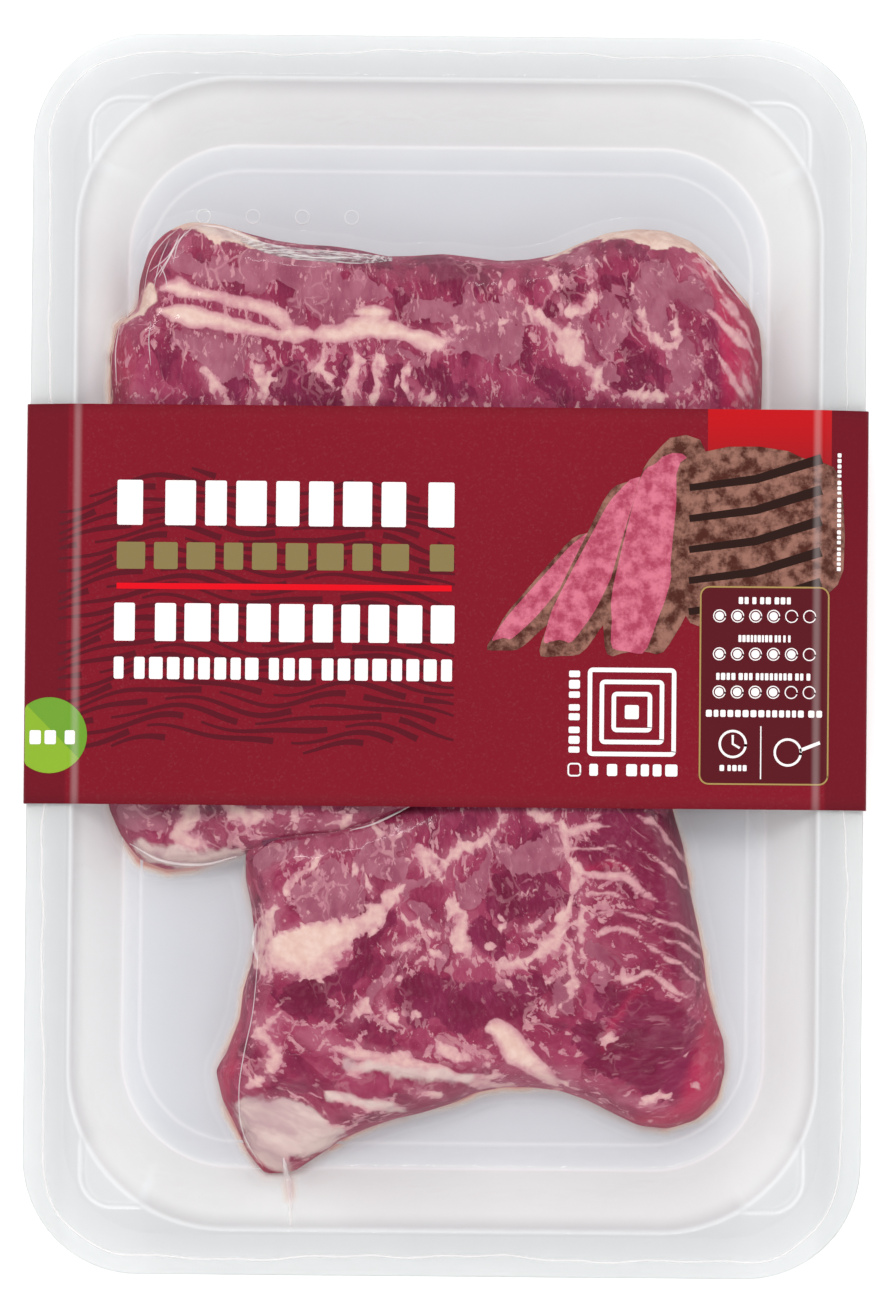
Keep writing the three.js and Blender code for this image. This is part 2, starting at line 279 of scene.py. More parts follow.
# The tray's rings, in millimetres: side inset, end inset, corner radius, height
RINGS = [
    (0.0, 0.0, 25.0, 17.7),
    (1.4, 1.4, 23.6, 18.9),
    (9.1, 9.1, 20.0, 22.0),
    (9.9, 9.9, 34.0, 22.0),
    (20.4, 22.6, 24.5, 2.8),
    (24.4, 28.2, 21.5, 1.6),
]
# In each corner a pocket lies below the flange: side inset, end inset, corner radius, depth
POCKET = (12.7, 14.5, 7.0, 1.4)
POCKET_WALL = 0.8
# Beads pressed along the tray's foot and floor rings
BEAD_HEIGHT = 0.2
BEAD_WIDTH = 0.4
# Spokes round the tray: in each corner, along each side and along each end
TRAY_SPOKES = (90, 60, 24)
# Levels between one ring and the next, and extra ones close to the two beads
RING_PIECES = (3, 5, 18, 14, 6)
BEAD_SPREADS = ((4, 0.03), (5, 0.07))
FLOOR_LEVELS = (5, 5.8, 6.6, 7.5)


def smooth_step(low, high, value):
    """0 below low, 1 above high, smooth between, for arrays."""
    t = np.clip((value - low) / (high - low), 0, 1)
    return t * t * (3 - 2 * t)


def line_at(rings, x, y):
    """1 on the line of a ring, falling to 0 beside it, at points in millimetres."""
    rise = np.zeros(x.shape)
    for side, end, corner, _ in rings:
        half_width, half_length = TRAY_HALF_WIDTH / MM - side, TRAY_HALF_LENGTH / MM - end
        away = rounded_rectangle(half_width, half_length, corner, x, y) / BEAD_WIDTH
        rise = np.maximum(rise, np.exp(-(away**2)))
    return rise


def pocket_share(x, y):
    """1 in the corner pockets and 0 outside them, and 1 on the line round each."""
    side, end, corner, _ = POCKET
    half_width, half_length = TRAY_HALF_WIDTH / MM, TRAY_HALF_LENGTH / MM
    away = rounded_rectangle(half_width - side, half_length - end, corner, x, y)
    side, end, corner, _ = RINGS[3]
    well = rounded_rectangle(half_width - side, half_length - end, corner, x, y)
    in_corner = smooth_step(0, 1.5, well - away)
    line = np.exp(-((away / BEAD_WIDTH) ** 2)) * in_corner * (well > -0.5)
    return in_corner * smooth_step(0, POCKET_WALL, -away), line


def tray_top(x, y):
    """Height of the tray's upper side, in metres, at points in metres."""
    x, y = np.asarray(x, float) / MM, np.asarray(y, float) / MM
    half_width, half_length = TRAY_HALF_WIDTH / MM, TRAY_HALF_LENGTH / MM
    past = [
        rounded_rectangle(half_width - side, half_length - end, corner, x, y)
        for side, end, corner, _ in RINGS
    ]
    heights = [np.full(x.shape, ring[3]) for ring in RINGS]
    heights[3] = heights[3] - POCKET[3] * pocket_share(x, y)[0]
    top = heights[-1].copy()
    for outer in range(len(RINGS) - 2, -1, -1):
        inner = outer + 1
        between = past[inner] >= 0
        share = np.clip(-past[outer] / np.maximum(past[inner] - past[outer], 1e-9), 0, 1)
        rise = heights[outer] + (heights[inner] - heights[outer]) * share
        if inner == 3:
            rise = heights[3]
        top = np.where(between, rise, top)
    top = np.where(past[0] >= 0, heights[0], top)
    return top * MM


def tray_spokes(corner_steps, side_steps, end_steps):
    """Start points and directions of lines from inside the tray outwards, anticlockwise."""
    corner_x = TRAY_HALF_WIDTH - WELL_INSET - WELL_CORNER
    corner_y = TRAY_HALF_LENGTH - WELL_INSET - WELL_CORNER
    starts, angles = [], []
    for index, (side_x, side_y) in enumerate([(1, 1), (-1, 1), (-1, -1), (1, -1)]):
        for i in range(corner_steps + 1):
            starts.append((side_x * corner_x, side_y * corner_y))
            angles.append(math.pi / 2 * (index + i / corner_steps))
        along_x = index % 2 == 0
        steps = end_steps if along_x else side_steps
        for i in range(1, steps):
            part = 1 - 2 * i / steps
            part_x, part_y = (part, 1) if along_x else (1, part)
            starts.append((side_x * corner_x * part_x, side_y * corner_y * part_y))
            angles.append(angles[-1])
    return np.array(starts), np.array(angles)


def ring_points(spokes, side, end, corner):
    """Where the spokes cross a ring with these insets and this corner radius, in metres."""
    starts, angles = spokes
    near = np.zeros(len(angles))
    far = np.full(len(angles), 2 * TRAY_HALF_WIDTH)
    way = np.column_stack([np.cos(angles), np.sin(angles)])
    for _ in range(40):
        middle = (near + far) / 2
        x, y = (starts + way * middle[:, None]).T
        past = rounded_rectangle(TRAY_HALF_WIDTH - side, TRAY_HALF_LENGTH - end, corner, x, y)
        far = np.where(past > 0, middle, far)
        near = np.where(past > 0, near, middle)
    return starts + way * near[:, None]


def loft(name, rings):
    """A surface through rings of points that have the same number of points each."""
    count = len(rings[0])
    points = np.concatenate(rings)
    faces = []
    for level in range(len(rings) - 1):
        for i in range(count):
            j = (i + 1) % count
            a, b = level * count, (level + 1) * count
            faces.append((a + i, a + j, b + j, b + i))
    last = (len(rings) - 1) * count
    faces.append(tuple(last + i for i in range(count)))
    return mesh_object(name, points, faces)


def ring_at(level):
    """Side inset, end inset and corner radius at a level from one ring to the next."""
    outer = min(int(level), len(RINGS) - 2)
    share = level - outer
    return [a + (b - a) * share for a, b in zip(RINGS[outer][:3], RINGS[outer + 1][:3])]


def make_tray(upper_material, under_material):
    """The tray's upper side as a loft through its rings, thickened downwards."""
    spokes = tray_spokes(*TRAY_SPOKES)
    levels = []
    for outer, pieces in enumerate(RING_PIECES):
        levels.extend(outer + i / pieces for i in range(pieces))
    for middle, spread in BEAD_SPREADS:
        levels.extend(middle + spread * near for near in (-3, -2, -1, 1, 2, 3))
    rings = []
    for level in sorted({*levels, *FLOOR_LEVELS}):
        side, end, corner = ring_at(level)
        flat = ring_points(spokes, side * MM, end * MM, max(corner, 8) * MM)
        bead = BEAD_HEIGHT * line_at(RINGS[4:], *(flat.T / MM))
        rings.append(np.column_stack([flat, tray_top(flat[:, 0], flat[:, 1]) + bead * MM]))
    tray = loft("tray_shell", rings)
    x, y, _ = coordinates(tray).T / MM
    # Painted highlight: lines along the well, foot and floor rings and round each corner pocket, which
    # the tray's material tints near white
    fainter = np.maximum(line_at(RINGS[3:4], x, y), line_at(RINGS[5:], x, y))
    bright = np.maximum(line_at(RINGS[4:5], x, y), 0.6 * fainter)
    set_attribute(tray, "bead", np.maximum(bright, 0.8 * pocket_share(x, y)[1]))
    wall = tray.modifiers.new("wall", "SOLIDIFY")
    wall.thickness = TRAY_WALL
    wall.offset = -1
    wall.material_offset = 1
    tray.data.materials.append(upper_material)
    tray.data.materials.append(under_material)
    apply_modifiers(tray)
    finish_piece(tray, None, "tray")


def tray_material():
    """Thermoformed polypropylene: milky, lit through from outside, with a satin skin; its tint holds
    painted shade and highlights, and it glows faintly as painted light.
    """
    material, tree, output = new_material("thermoformed_polypropylene")
    place = object_place(tree)
    cloud = noise_at(tree, place, 30, 2)
    height = along_axis(tree, place, "Z")
    # Painted shade: the same plastic is tinted darker and bluer on the floor, for the shade of the
    # walls and meat, and darker on the flange, to even out the extra light on its flat top
    wall = mix(tree, cloud, "#e3e6e5", "#eaeceb")
    floor = mix(tree, cloud, "#c8cbd1", "#d4d6db")
    tint = mix(tree, step(tree, height, 1.7, 4.0), floor, wall)
    flange = mix(tree, cloud, "#bfc1c2", "#c7c8c8")
    tint = mix(tree, step(tree, height, 16.0, 22.0), tint, flange)
    # Painted highlight: near white along the ring lines and round the pockets
    bead = calculate(tree, "MULTIPLY", attribute(tree, "bead"), 0.75)
    tint = mix(tree, bead, tint, "#fafafb")

    # Painted light: the whole tray glows faintly, and its long sides more, for the light that comes
    # through the plastic
    across = calculate(tree, "ABSOLUTE", along_axis(tree, place, "X"))
    beside = calculate(tree, "MULTIPLY", step(tree, across, 56, 70), step(tree, across, 83, 79))
    lit = calculate(tree, "MULTIPLY_ADD", beside, 0.06, 0.06)
    grain = noise_at(tree, place, 0.8, 2)
    bump = add(tree, "ShaderNodeBump", {"Strength": 0.05, "Distance": 0.0002, "Height": grain})
    look = {
        "Base Color": tint,
        "Roughness": 0.32,
        "IOR": 1.49,
        "Specular IOR Level": 0.4,
        "Emission Color": colour("#f6f6f8"),
        "Emission Strength": lit,
        "Normal": bump.outputs["Normal"],
    }
    shader = add(tree, "ShaderNodeBsdfPrincipled", look).outputs[0]
    through = add(tree, "ShaderNodeBsdfTranslucent", {"Color": colour("#f0f1f3")}).outputs[0]
    both = add(tree, "ShaderNodeMixShader", {0: 0.3, 1: shader, 2: through})
    tree.links.new(both.outputs[0], output.inputs["Surface"])
    return material


def tray_underside_material():
    """The same plastic from below, where most light goes on into the wall."""
    material, tree, output = new_material("polypropylene_underside")
    skin = {"Base Color": colour("#e4e5e7"), "Roughness": 0.3, "IOR": 1.49}
    cover_with(tree, output, skin, 0.25)
    return material


# Moulded rings in a row on the tray's floor: the first one's pixel, and sizes in millimetres
MARK_PIXEL = (200, 208)
MARK_COUNT = 4
MARK_SPACING = 10.8
MARK_RADIUS = 1.5
MARK_BEAD = 0.12


def geometry_tree(name, inputs):
    """A geometry node tree with named inputs: the tree and the outputs of its input node."""
    tree = bpy.data.node_groups.new(name, "GeometryNodeTree")
    for label, kind in inputs:
        tree.interface.new_socket(label, in_out="INPUT", socket_type="NodeSocket" + kind)
    tree.interface.new_socket("Geometry", in_out="OUTPUT", socket_type="NodeSocketGeometry")
    return tree, add(tree, "NodeGroupInput").outputs


def end_tree(tree, geometry, material):
    """Ends a tree: makes instances real, gives them their material and passes them out."""
    real = add(tree, "GeometryNodeRealizeInstances", {"Geometry": geometry})
    dress = {"Geometry": real.outputs[0], "Material": material}
    dressed = add(tree, "GeometryNodeSetMaterial", dress)
    add(tree, "NodeGroupOutput", {0: dressed.outputs[0]})


def run_tree(piece, tree, sizes):
    """Runs a tree on a piece with these sizes and keeps the result as a plain mesh."""
    modifier = piece.modifiers.new(tree.name, "NODES")
    modifier.node_group = tree
    for item in tree.interface.items_tree:
        if item.in_out == "INPUT" and item.name in sizes:
            modifier[item.identifier] = sizes[item.name]
    apply_modifiers(piece)


def make_marks(material):
    """A row of raised rings, by a node tree that repeats one ring."""
    floats = [(name, "Float") for name in ("Spacing", "Radius", "Bead")]
    inputs = [("Count", "Int"), *floats, ("Material", "Material")]
    tree, sizes = geometry_tree("moulded_marks", inputs)
    offset = add(tree, "ShaderNodeCombineXYZ", {"X": sizes["Spacing"]}).outputs[0]
    line = add(tree, "GeometryNodeMeshLine", {"Count": sizes["Count"], "Offset": offset})
    circle = "GeometryNodeCurvePrimitiveCircle"
    ring = add(tree, circle, {"Resolution": 40, "Radius": sizes["Radius"]})
    bead = add(tree, circle, {"Resolution": 8, "Radius": sizes["Bead"]})
    curves = {"Curve": ring.outputs[0], "Profile Curve": bead.outputs[0]}
    tube = add(tree, "GeometryNodeCurveToMesh", curves)
    places = {"Points": line.outputs[0], "Instance": tube.outputs[0]}
    placed = add(tree, "GeometryNodeInstanceOnPoints", places)
    end_tree(tree, placed.outputs[0], sizes["Material"])
    piece = mesh_object("moulded_marks", [(0, 0, 0)], [])
    given = {
        "Count": MARK_COUNT,
        "Spacing": MARK_SPACING * MM,
        "Radius": MARK_RADIUS * MM,
        "Bead": MARK_BEAD * MM,
        "Material": material,
    }
    run_tree(piece, tree, given)
    x, y = photo(*MARK_PIXEL)
    set_coordinates(piece, coordinates(piece) + np.array([x, y, FLOOR_TOP]))
    finish_piece(piece)


# Steaks


def joined_mesh(node):
    """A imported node's mesh, to work on, with its corners joined up."""
    work = bmesh.new()
    work.from_mesh(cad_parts[node].data)
    bmesh.ops.remove_doubles(work, verts=work.verts, dist=1e-5)
    return work


def end_mesh(name, work):
    """Turns a mesh that was worked on into a new object."""
    mesh = bpy.data.meshes.new(name)
    work.to_mesh(mesh)
    work.free()
    return link_mesh(name, mesh)


# Size of the even cells that the meat is meshed with
VOXEL = 0.6 * MM
# How far the sides swell out between their foot and their shoulder
BULGE = 1.0 * MM
# How far the marks on the meat stray from their drawn lines
WOBBLE = 0.9 * MM

# Fat seams of each steak: pixels along the middle of each, with its width there
UPPER_SEAMS = [
    [(163, 288, 17), (178, 287, 20), (205, 295, 15), (238, 301, 12),
     (265, 308, 15), (283, 320, 18), (294, 331, 16)],
    [(160, 311, 20), (188, 316, 22), (215, 321, 18), (238, 327, 15),
     (262, 330, 15), (285, 333, 18), (312, 335, 19)],
    [(312, 335, 19), (338, 335, 18), (352, 331, 22), (388, 331, 22),
     (408, 336, 18), (428, 343, 22), (449, 341, 8)],
    [(356, 314, 18), (390, 313, 18)],
    [(362, 322, 22), (384, 322, 22)],
    [(436, 335, 5), (475, 327, 5), (508, 323, 4)],
    [(503, 288, 4), (520, 302, 6), (538, 318, 8), (552, 328, 13),
     (566, 338, 22), (577, 349, 26), (585, 363, 16)],
    [(585, 363, 14), (597, 381, 9), (612, 390, 9)],
    [(609, 389, 10), (631, 395, 12), (653, 397, 14), (687, 395, 10)],
    [(560, 300, 10), (564, 312, 8), (591, 306, 4), (590, 264, 3)],
    [(555, 281, 12), (560, 290, 6)],
    [(629, 286, 3), (640, 312, 5), (653, 335, 8), (675, 344, 7), (678, 310, 4)],
    [(707, 310, 6), (727, 328, 8), (743, 351, 4)],
    [(202, 370, 10), (221, 394, 16), (228, 404, 12)],
    [(252, 362, 10), (265, 383, 16), (256, 402, 12)],
    [(326, 349, 8), (321, 370, 10), (343, 394, 10)],
    [(358, 349, 8), (354, 384, 12), (349, 404, 10)],
    [(384, 351, 6), (378, 375, 10), (371, 400, 10)],
    [(408, 362, 8), (406, 388, 10), (434, 403, 8)],
    [(152, 288, 12), (139, 314, 10), (122, 323, 8)],
    [(740, 370, 5), (748, 396, 8)],
    [(700, 262, 3), (722, 290, 3), (742, 330, 3)],
    [(722, 300, 3), (738, 322, 4), (752, 345, 3)],
    [(735, 330, 3), (748, 352, 4), (754, 372, 3)],
    [(716, 352, 3), (730, 375, 5), (742, 400, 4)],
    [(690, 350, 3), (705, 372, 4), (714, 398, 4)],
    [(195, 812, 26), (180, 835, 18), (205, 846, 14)],
    [(228, 806, 12), (243, 818, 14), (270, 812, 8)],
    [(288, 806, 8), (300, 826, 8)],
    [(322, 825, 8), (350, 820, 8)],
]
UPPER_RIM_FAT = [
    [(550, 259, 6), (573, 247, 10), (597, 238, 13), (620, 233, 16),
     (640, 235, 18), (657, 239, 21), (680, 241, 19)],
    [(680, 241, 18), (700, 249, 15), (715, 262, 9), (741, 296, 5), (757, 318, 4)],
    [(160, 230, 4), (175, 223, 8), (190, 224, 14), (215, 231, 20),
     (235, 239, 16), (250, 244, 12), (266, 250, 4)],
    [(146, 312, 8), (132, 318, 6), (118, 322, 6), (114, 345, 4), (112, 375, 4), (113, 402, 4)],
    [(153, 284, 8), (150, 298, 14), (143, 314, 10)],
]
LOWER_SEAMS = [
    [(270, 948, 42), (285, 953, 54), (308, 953, 54), (328, 944, 46),
     (346, 935, 32), (365, 925, 24), (384, 908, 20)],
    [(384, 908, 20), (402, 889, 12)],
    [(276, 898, 6), (274, 915, 12), (268, 935, 18), (262, 960, 12), (270, 978, 8)],
    [(319, 861, 2), (300, 880, 4), (283, 898, 3)],
    [(353, 863, 7), (366, 883, 5), (372, 894, 5)],
    [(374, 830, 3), (386, 838, 5), (404, 836, 5), (408, 846, 4)],
    [(399, 866, 6), (417, 858, 14), (430, 868, 14), (441, 876, 14), (450, 858, 10), (459, 846, 10)],
    [(406, 921, 7), (424, 931, 8), (433, 938, 6), (449, 936, 6), (459, 946, 10)],
    [(391, 949, 8), (412, 949, 9), (400, 965, 6)],
    [(417, 964, 9), (439, 954, 8)],
    [(530, 812, 9), (548, 822, 10), (565, 835, 10), (568, 860, 5), (576, 866, 12), (577, 882, 15)],
    [(568, 835, 8), (590, 829, 9), (609, 828, 5)],
    [(450, 854, 12), (474, 846, 12), (491, 835, 9), (505, 818, 6)],
    [(578, 882, 12), (603, 878, 7), (627, 880, 8), (643, 891, 6), (650, 898, 3)],
    [(576, 866, 10), (573, 900, 10), (563, 926, 12), (554, 944, 11), (528, 960, 12), (498, 968, 12)],
    [(450, 905, 13), (459, 930, 14), (463, 950, 12), (472, 966, 10)],
    [(500, 915, 5), (508, 925, 4)],
    [(493, 946, 7), (500, 930, 5), (514, 918, 3)],
    [(522, 898, 3), (535, 890, 5), (548, 894, 3)],
    [(525, 934, 5), (540, 926, 4)],
    [(505, 985, 4), (530, 990, 6), (548, 984, 3)],
    [(581, 892, 3), (581, 930, 4), (578, 962, 5), (575, 988, 7)],
    [(582, 895, 2), (603, 893, 3), (630, 900, 2)],
    [(583, 918, 2), (607, 913, 3), (630, 915, 5), (647, 920, 3), (663, 929, 2)],
    [(595, 939, 4), (609, 930, 6), (627, 932, 5), (643, 943, 3)],
    [(643, 945, 3), (663, 957, 5), (678, 967, 4)],
    [(570, 945, 12), (572, 975, 12), (568, 1000, 8)],
    [(639, 817, 3), (663, 841, 6), (687, 868, 4)],
    [(620, 967, 6), (626, 984, 7), (643, 973, 7), (654, 977, 6), (670, 990, 6), (691, 1002, 3)],
    [(487, 1030, 16), (498, 1032, 24), (514, 1048, 24), (531, 1063, 20),
     (551, 1077, 12), (574, 1084, 5)],
    [(566, 1001, 9), (553, 1011, 10)],
    [(607, 1051, 12), (612, 1036, 6)],
    [(690, 1058, 7), (700, 1062, 5)],
    [(690, 1083, 7), (697, 1079, 7)],
    [(670, 1095, 5), (646, 1102, 4), (622, 1099, 3)],
    [(448, 1055, 9), (470, 1061, 8), (487, 1065, 4)],
    [(448, 1078, 6), (475, 1077, 5), (505, 1080, 4)],
    [(280, 1015, 8), (265, 1030, 10), (271, 1048, 9), (275, 1068, 9), (250, 1088, 8)],
    [(250, 1110, 34), (275, 1122, 50), (300, 1130, 46), (325, 1132, 22), (341, 1126, 10)],
    [(262, 1140, 30), (275, 1155, 30), (283, 1168, 16)],
    [(341, 1062, 8), (357, 1069, 10), (382, 1065, 10), (410, 1070, 8), (449, 1078, 6)],
    [(326, 1093, 8), (345, 1100, 10), (366, 1103, 10), (406, 1105, 6)],
    [(399, 1084, 4), (440, 1094, 6)],
    [(371, 998, 8), (356, 1015, 10), (349, 1027, 6)],
    [(379, 997, 8), (386, 1015, 9), (407, 1021, 9), (421, 1016, 6)],
    [(356, 1044, 8), (362, 1052, 6)],
    [(437, 1048, 7), (459, 1056, 7)],
    [(316, 1033, 9), (323, 1051, 9), (341, 1046, 6)],
    [(382, 986, 6), (400, 978, 8)],
    [(300, 1038, 5), (340, 1052, 10), (400, 1062, 12), (470, 1079, 9), (540, 1092, 6), (600, 1100, 4)],
    [(636, 847, 3), (646, 854, 3), (656, 862, 3)],
    [(650, 858, 3), (668, 878, 4), (688, 895, 3)],
    [(608, 847, 3), (627, 852, 3)],
    [(570, 850, 3), (590, 848, 4), (604, 850, 3)],
    [(606, 864, 4), (622, 868, 5), (640, 884, 3)],
    [(582, 898, 3), (606, 893, 4), (626, 900, 3)],
    [(630, 888, 3), (646, 898, 3), (660, 908, 3)],
    [(650, 916, 3), (670, 926, 3), (690, 940, 3)],
    [(668, 924, 3), (688, 938, 4), (700, 952, 3)],
    [(664, 940, 3), (686, 952, 4), (702, 966, 3)],
    [(680, 968, 3), (702, 988, 3)],
    [(586, 822, 5), (604, 814, 4)],
]
# Lean meat between seams that run close together
UPPER_LEAN = [
    [(162, 301, 4), (188, 304, 5), (215, 309, 6), (238, 314, 7), (262, 321, 7), (280, 328, 4)],
]
LOWER_LEAN = [
    [(300, 1128, 2), (315, 1134, 4), (330, 1136, 2)],
]
# The creamiest parts of them
UPPER_CREAM = [
    [(356, 314, 16), (388, 314, 16), (388, 328, 16), (356, 328, 16)],
    [(330, 335, 12), (360, 331, 14), (400, 334, 12), (432, 342, 12)],
    [(166, 288, 12), (184, 288, 12), (210, 297, 9)],
    [(160, 311, 16), (188, 316, 18), (215, 321, 13), (240, 327, 9), (262, 330, 9), (300, 334, 10)],
]
LOWER_CREAM = [
    [(290, 948, 36), (308, 948, 42), (330, 938, 24), (352, 930, 12)],
    [(490, 1030, 14), (511, 1046, 20), (530, 1062, 14)],
]
# Bright red places near the edges
UPPER_RED = [
    [(160, 240, 14), (150, 256, 18), (142, 280, 16), (138, 306, 10)],
    [(120, 336, 18), (124, 366, 26), (122, 400, 22)],
    [(700, 256, 18), (724, 284, 32), (740, 320, 44), (746, 360, 50), (748, 404, 50)],
]
# Places where the seams keep smooth edges, and where thin streaks follow the fibres
UPPER_CALM = [
    [(722, 286, 24), (740, 326, 40), (742, 386, 44)],
    [(160, 302, 60), (230, 312, 56), (300, 328, 44), (350, 330, 40), (380, 324, 44), (420, 340, 30)],
    [(690, 300, 40), (725, 350, 60), (730, 395, 60)],
]
UPPER_STREAKS = [[(716, 290, 30), (735, 330, 40), (738, 380, 44)]]
LOWER_CALM = [
    [(341, 1062, 20), (410, 1072, 24), (480, 1078, 20)],
    [(326, 1095, 16), (406, 1106, 16)],
    [(600, 835, 70), (640, 870, 90), (650, 930, 110), (660, 990, 70)],
    [(490, 1022, 30), (511, 1042, 40), (530, 1060, 30), (553, 1076, 20)],
    [(260, 1115, 50), (300, 1130, 50), (275, 1155, 30)],
]
LOWER_STREAKS = [
    [(630, 830, 60), (665, 870, 60), (672, 930, 60), (690, 985, 30)],
    [(650, 1040, 50), (680, 1070, 60), (670, 1100, 40)],
    [(330, 1085, 30), (400, 1080, 30), (480, 1070, 24)],
]
LOWER_RED = [
    [(604, 1050, 5), (619, 1015, 8), (648, 982, 5)],
    [(586, 872, 8), (612, 868, 7), (630, 872, 4)],
    [(252, 870, 12), (254, 900, 10), (258, 930, 8)],
    [(246, 1000, 10), (234, 1060, 16), (226, 1092, 20), (240, 1142, 12), (262, 1172, 10)],
    [(640, 1118, 16), (672, 1120, 28), (698, 1100, 40), (712, 1066, 42),
     (712, 1030, 32), (706, 1000, 18)],
    [(690, 860, 8), (700, 930, 10), (706, 985, 12)],
]
# Fat and muscle under two layers of film, greyer
UPPER_COOL = [
    [(142, 848, 14), (175, 856, 20), (205, 858, 22), (238, 850, 14)],
    [(188, 224, 4), (205, 228, 8), (225, 236, 10), (250, 246, 6)],
]
LOWER_COOL = [
    [(250, 1106, 22), (262, 1118, 44), (290, 1128, 56), (318, 1136, 30), (338, 1132, 10)],
    [(262, 1140, 30), (276, 1158, 24), (283, 1168, 12)],
    [(345, 1064, 8), (400, 1073, 11), (470, 1078, 8)],
    [(330, 1097, 7), (400, 1106, 7)],
]
# Paler, greyer places, where the film lies tight on the meat and its sheen is painted in: pixels and
# widths as above
UPPER_SHEEN = [
    [(178, 262, 12), (205, 268, 20), (240, 276, 20), (262, 288, 12)],
    [(250, 262, 20), (285, 270, 34), (320, 290, 44), (338, 308, 40)],
    [(290, 300, 16), (300, 318, 12)],
    [(360, 285, 24), (378, 292, 20)],
    [(175, 342, 16), (205, 345, 30), (230, 360, 36), (215, 372, 24)],
    [(250, 340, 20), (262, 352, 14)],
    [(410, 310, 26), (428, 312, 26), (452, 314, 24), (470, 305, 22)],
    [(478, 312, 20), (500, 310, 26), (530, 322, 14)],
    [(452, 340, 20), (480, 338, 34), (510, 340, 36), (504, 364, 14)],
    [(395, 350, 12), (420, 362, 14)],
    [(570, 265, 12), (592, 262, 16), (596, 285, 12)],
    [(612, 300, 24), (622, 325, 26), (608, 350, 20)],
    [(655, 278, 36), (652, 300, 44), (660, 325, 30), (672, 336, 12)],
    [(690, 292, 22), (706, 305, 14)],
    [(575, 315, 14), (590, 330, 18), (600, 345, 14)],
    [(604, 372, 20), (620, 376, 12)],
    [(680, 340, 26), (688, 366, 30), (680, 385, 18)],
    [(130, 812, 20), (165, 822, 22), (205, 818, 14)],
]
LOWER_SHEEN = [
    [(262, 860, 16), (290, 850, 10)],
    [(300, 905, 24), (330, 890, 46), (352, 912, 26), (318, 914, 30)],
    [(372, 862, 30), (392, 870, 34), (386, 850, 26), (400, 846, 20)],
    [(366, 905, 10), (372, 915, 8)],
    [(405, 888, 14), (425, 884, 12)],
    [(412, 905, 12), (425, 915, 14), (440, 928, 12)],
    [(400, 960, 12), (386, 975, 14), (368, 1000, 12), (352, 1022, 8)],
    [(490, 842, 12), (500, 856, 20), (488, 872, 16), (470, 895, 26)],
    [(530, 858, 34), (550, 850, 36), (565, 846, 16)],
    [(505, 852, 20), (520, 866, 30)],
    [(446, 950, 16), (440, 970, 14), (446, 985, 8)],
    [(560, 990, 20), (568, 1008, 14)],
    [(592, 952, 10), (606, 965, 14), (602, 985, 12)],
    [(540, 925, 14), (550, 915, 10)],
]
# Deeper places, where the film stands off it
UPPER_DEEP = [
    [(260, 248, 4), (290, 256, 6), (330, 263, 8), (360, 266, 8), (388, 264, 5)],
    [(296, 262, 8), (304, 268, 10)],
    [(314, 282, 8), (310, 290, 8)],
    [(150, 262, 10), (166, 252, 14), (168, 272, 12)],
    [(146, 270, 6), (141, 295, 6), (138, 310, 5)],
    [(300, 370, 24), (275, 384, 20), (305, 395, 30), (330, 400, 20)],
    [(228, 380, 14), (238, 376, 16), (236, 396, 16)],
    [(340, 350, 10), (344, 372, 12), (338, 392, 10)],
    [(366, 352, 10), (368, 378, 12), (362, 398, 10)],
    [(395, 372, 16), (400, 392, 18)],
    [(418, 372, 14), (440, 386, 20), (470, 392, 20)],
    [(430, 262, 20), (450, 272, 26), (478, 285, 12)],
    [(395, 296, 10), (402, 308, 12), (400, 318, 8)],
    [(462, 298, 14), (474, 310, 10), (476, 318, 4)],
    [(462, 335, 3), (466, 350, 8), (464, 366, 6)],
    [(520, 330, 8), (524, 352, 16), (530, 370, 18), (550, 380, 24), (565, 395, 24)],
    [(540, 300, 6), (552, 312, 10)],
    [(572, 298, 12), (582, 290, 10)],
    [(606, 280, 12), (624, 285, 10), (630, 300, 8), (636, 320, 6)],
    [(628, 352, 14), (644, 366, 16), (660, 372, 14)],
    [(622, 382, 16), (640, 390, 18), (664, 386, 12)],
    [(712, 330, 20), (722, 352, 30), (716, 385, 30), (730, 400, 30)],
    [(738, 310, 14), (750, 340, 14), (754, 380, 10)],
    [(626, 250, 12), (646, 256, 12)],
]
LOWER_DEEP = [
    [(246, 1000, 10), (236, 1060, 14), (228, 1092, 20), (246, 1142, 12)],
    [(620, 830, 50), (660, 850, 70), (680, 900, 70), (695, 960, 50)],
    [(600, 1040, 50), (660, 1060, 70), (690, 1090, 50)],
    [(500, 905, 36), (530, 890, 50), (560, 900, 26)],
    [(480, 935, 34), (505, 960, 26)],
    [(600, 850, 40), (650, 870, 60), (690, 930, 40)],
    [(420, 1000, 40), (480, 1005, 50), (540, 985, 30)],
    [(600, 1000, 30), (650, 1020, 50), (700, 1050, 40)],
    [(385, 920, 26), (370, 935, 20), (350, 975, 24), (300, 1000, 30)],
    [(420, 1020, 24), (440, 1005, 24), (460, 1030, 24)],
    [(552, 822, 8), (540, 838, 12), (528, 850, 4)],
    [(514, 857, 2), (515, 868, 3)],
    [(332, 902, 10), (336, 916, 12)],
    [(358, 898, 12), (360, 906, 10)],
    [(256, 870, 14), (262, 890, 10)],
]
# Turn of the fibres at each steak's left and right, and the pixels of those two places
UPPER_GRAIN = (-10, 28, 130, 740)
LOWER_GRAIN = (-37, 53, 250, 690)


def smooth_line(points, step_length):
    """Evenly spaced points on a curve through the given ones."""
    points = np.array(points, float)
    padded = np.concatenate([2 * points[:1] - points[1:2], points, 2 * points[-1:] - points[-2:-1]])
    line = []
    for a, b, c, d in zip(padded, padded[1:], padded[2:], padded[3:]):
        count = max(2, int(np.hypot(*(c - b)[:2]) / step_length))
        for i in range(count):
            t = i / count
            bend = 2 * b + (c - a) * t + (2 * a - 5 * b + 4 * c - d) * t**2
            line.append(0.5 * (bend + (3 * b - a - 3 * c + d) * t**3))
    line.append(points[-1])
    return np.array(line)


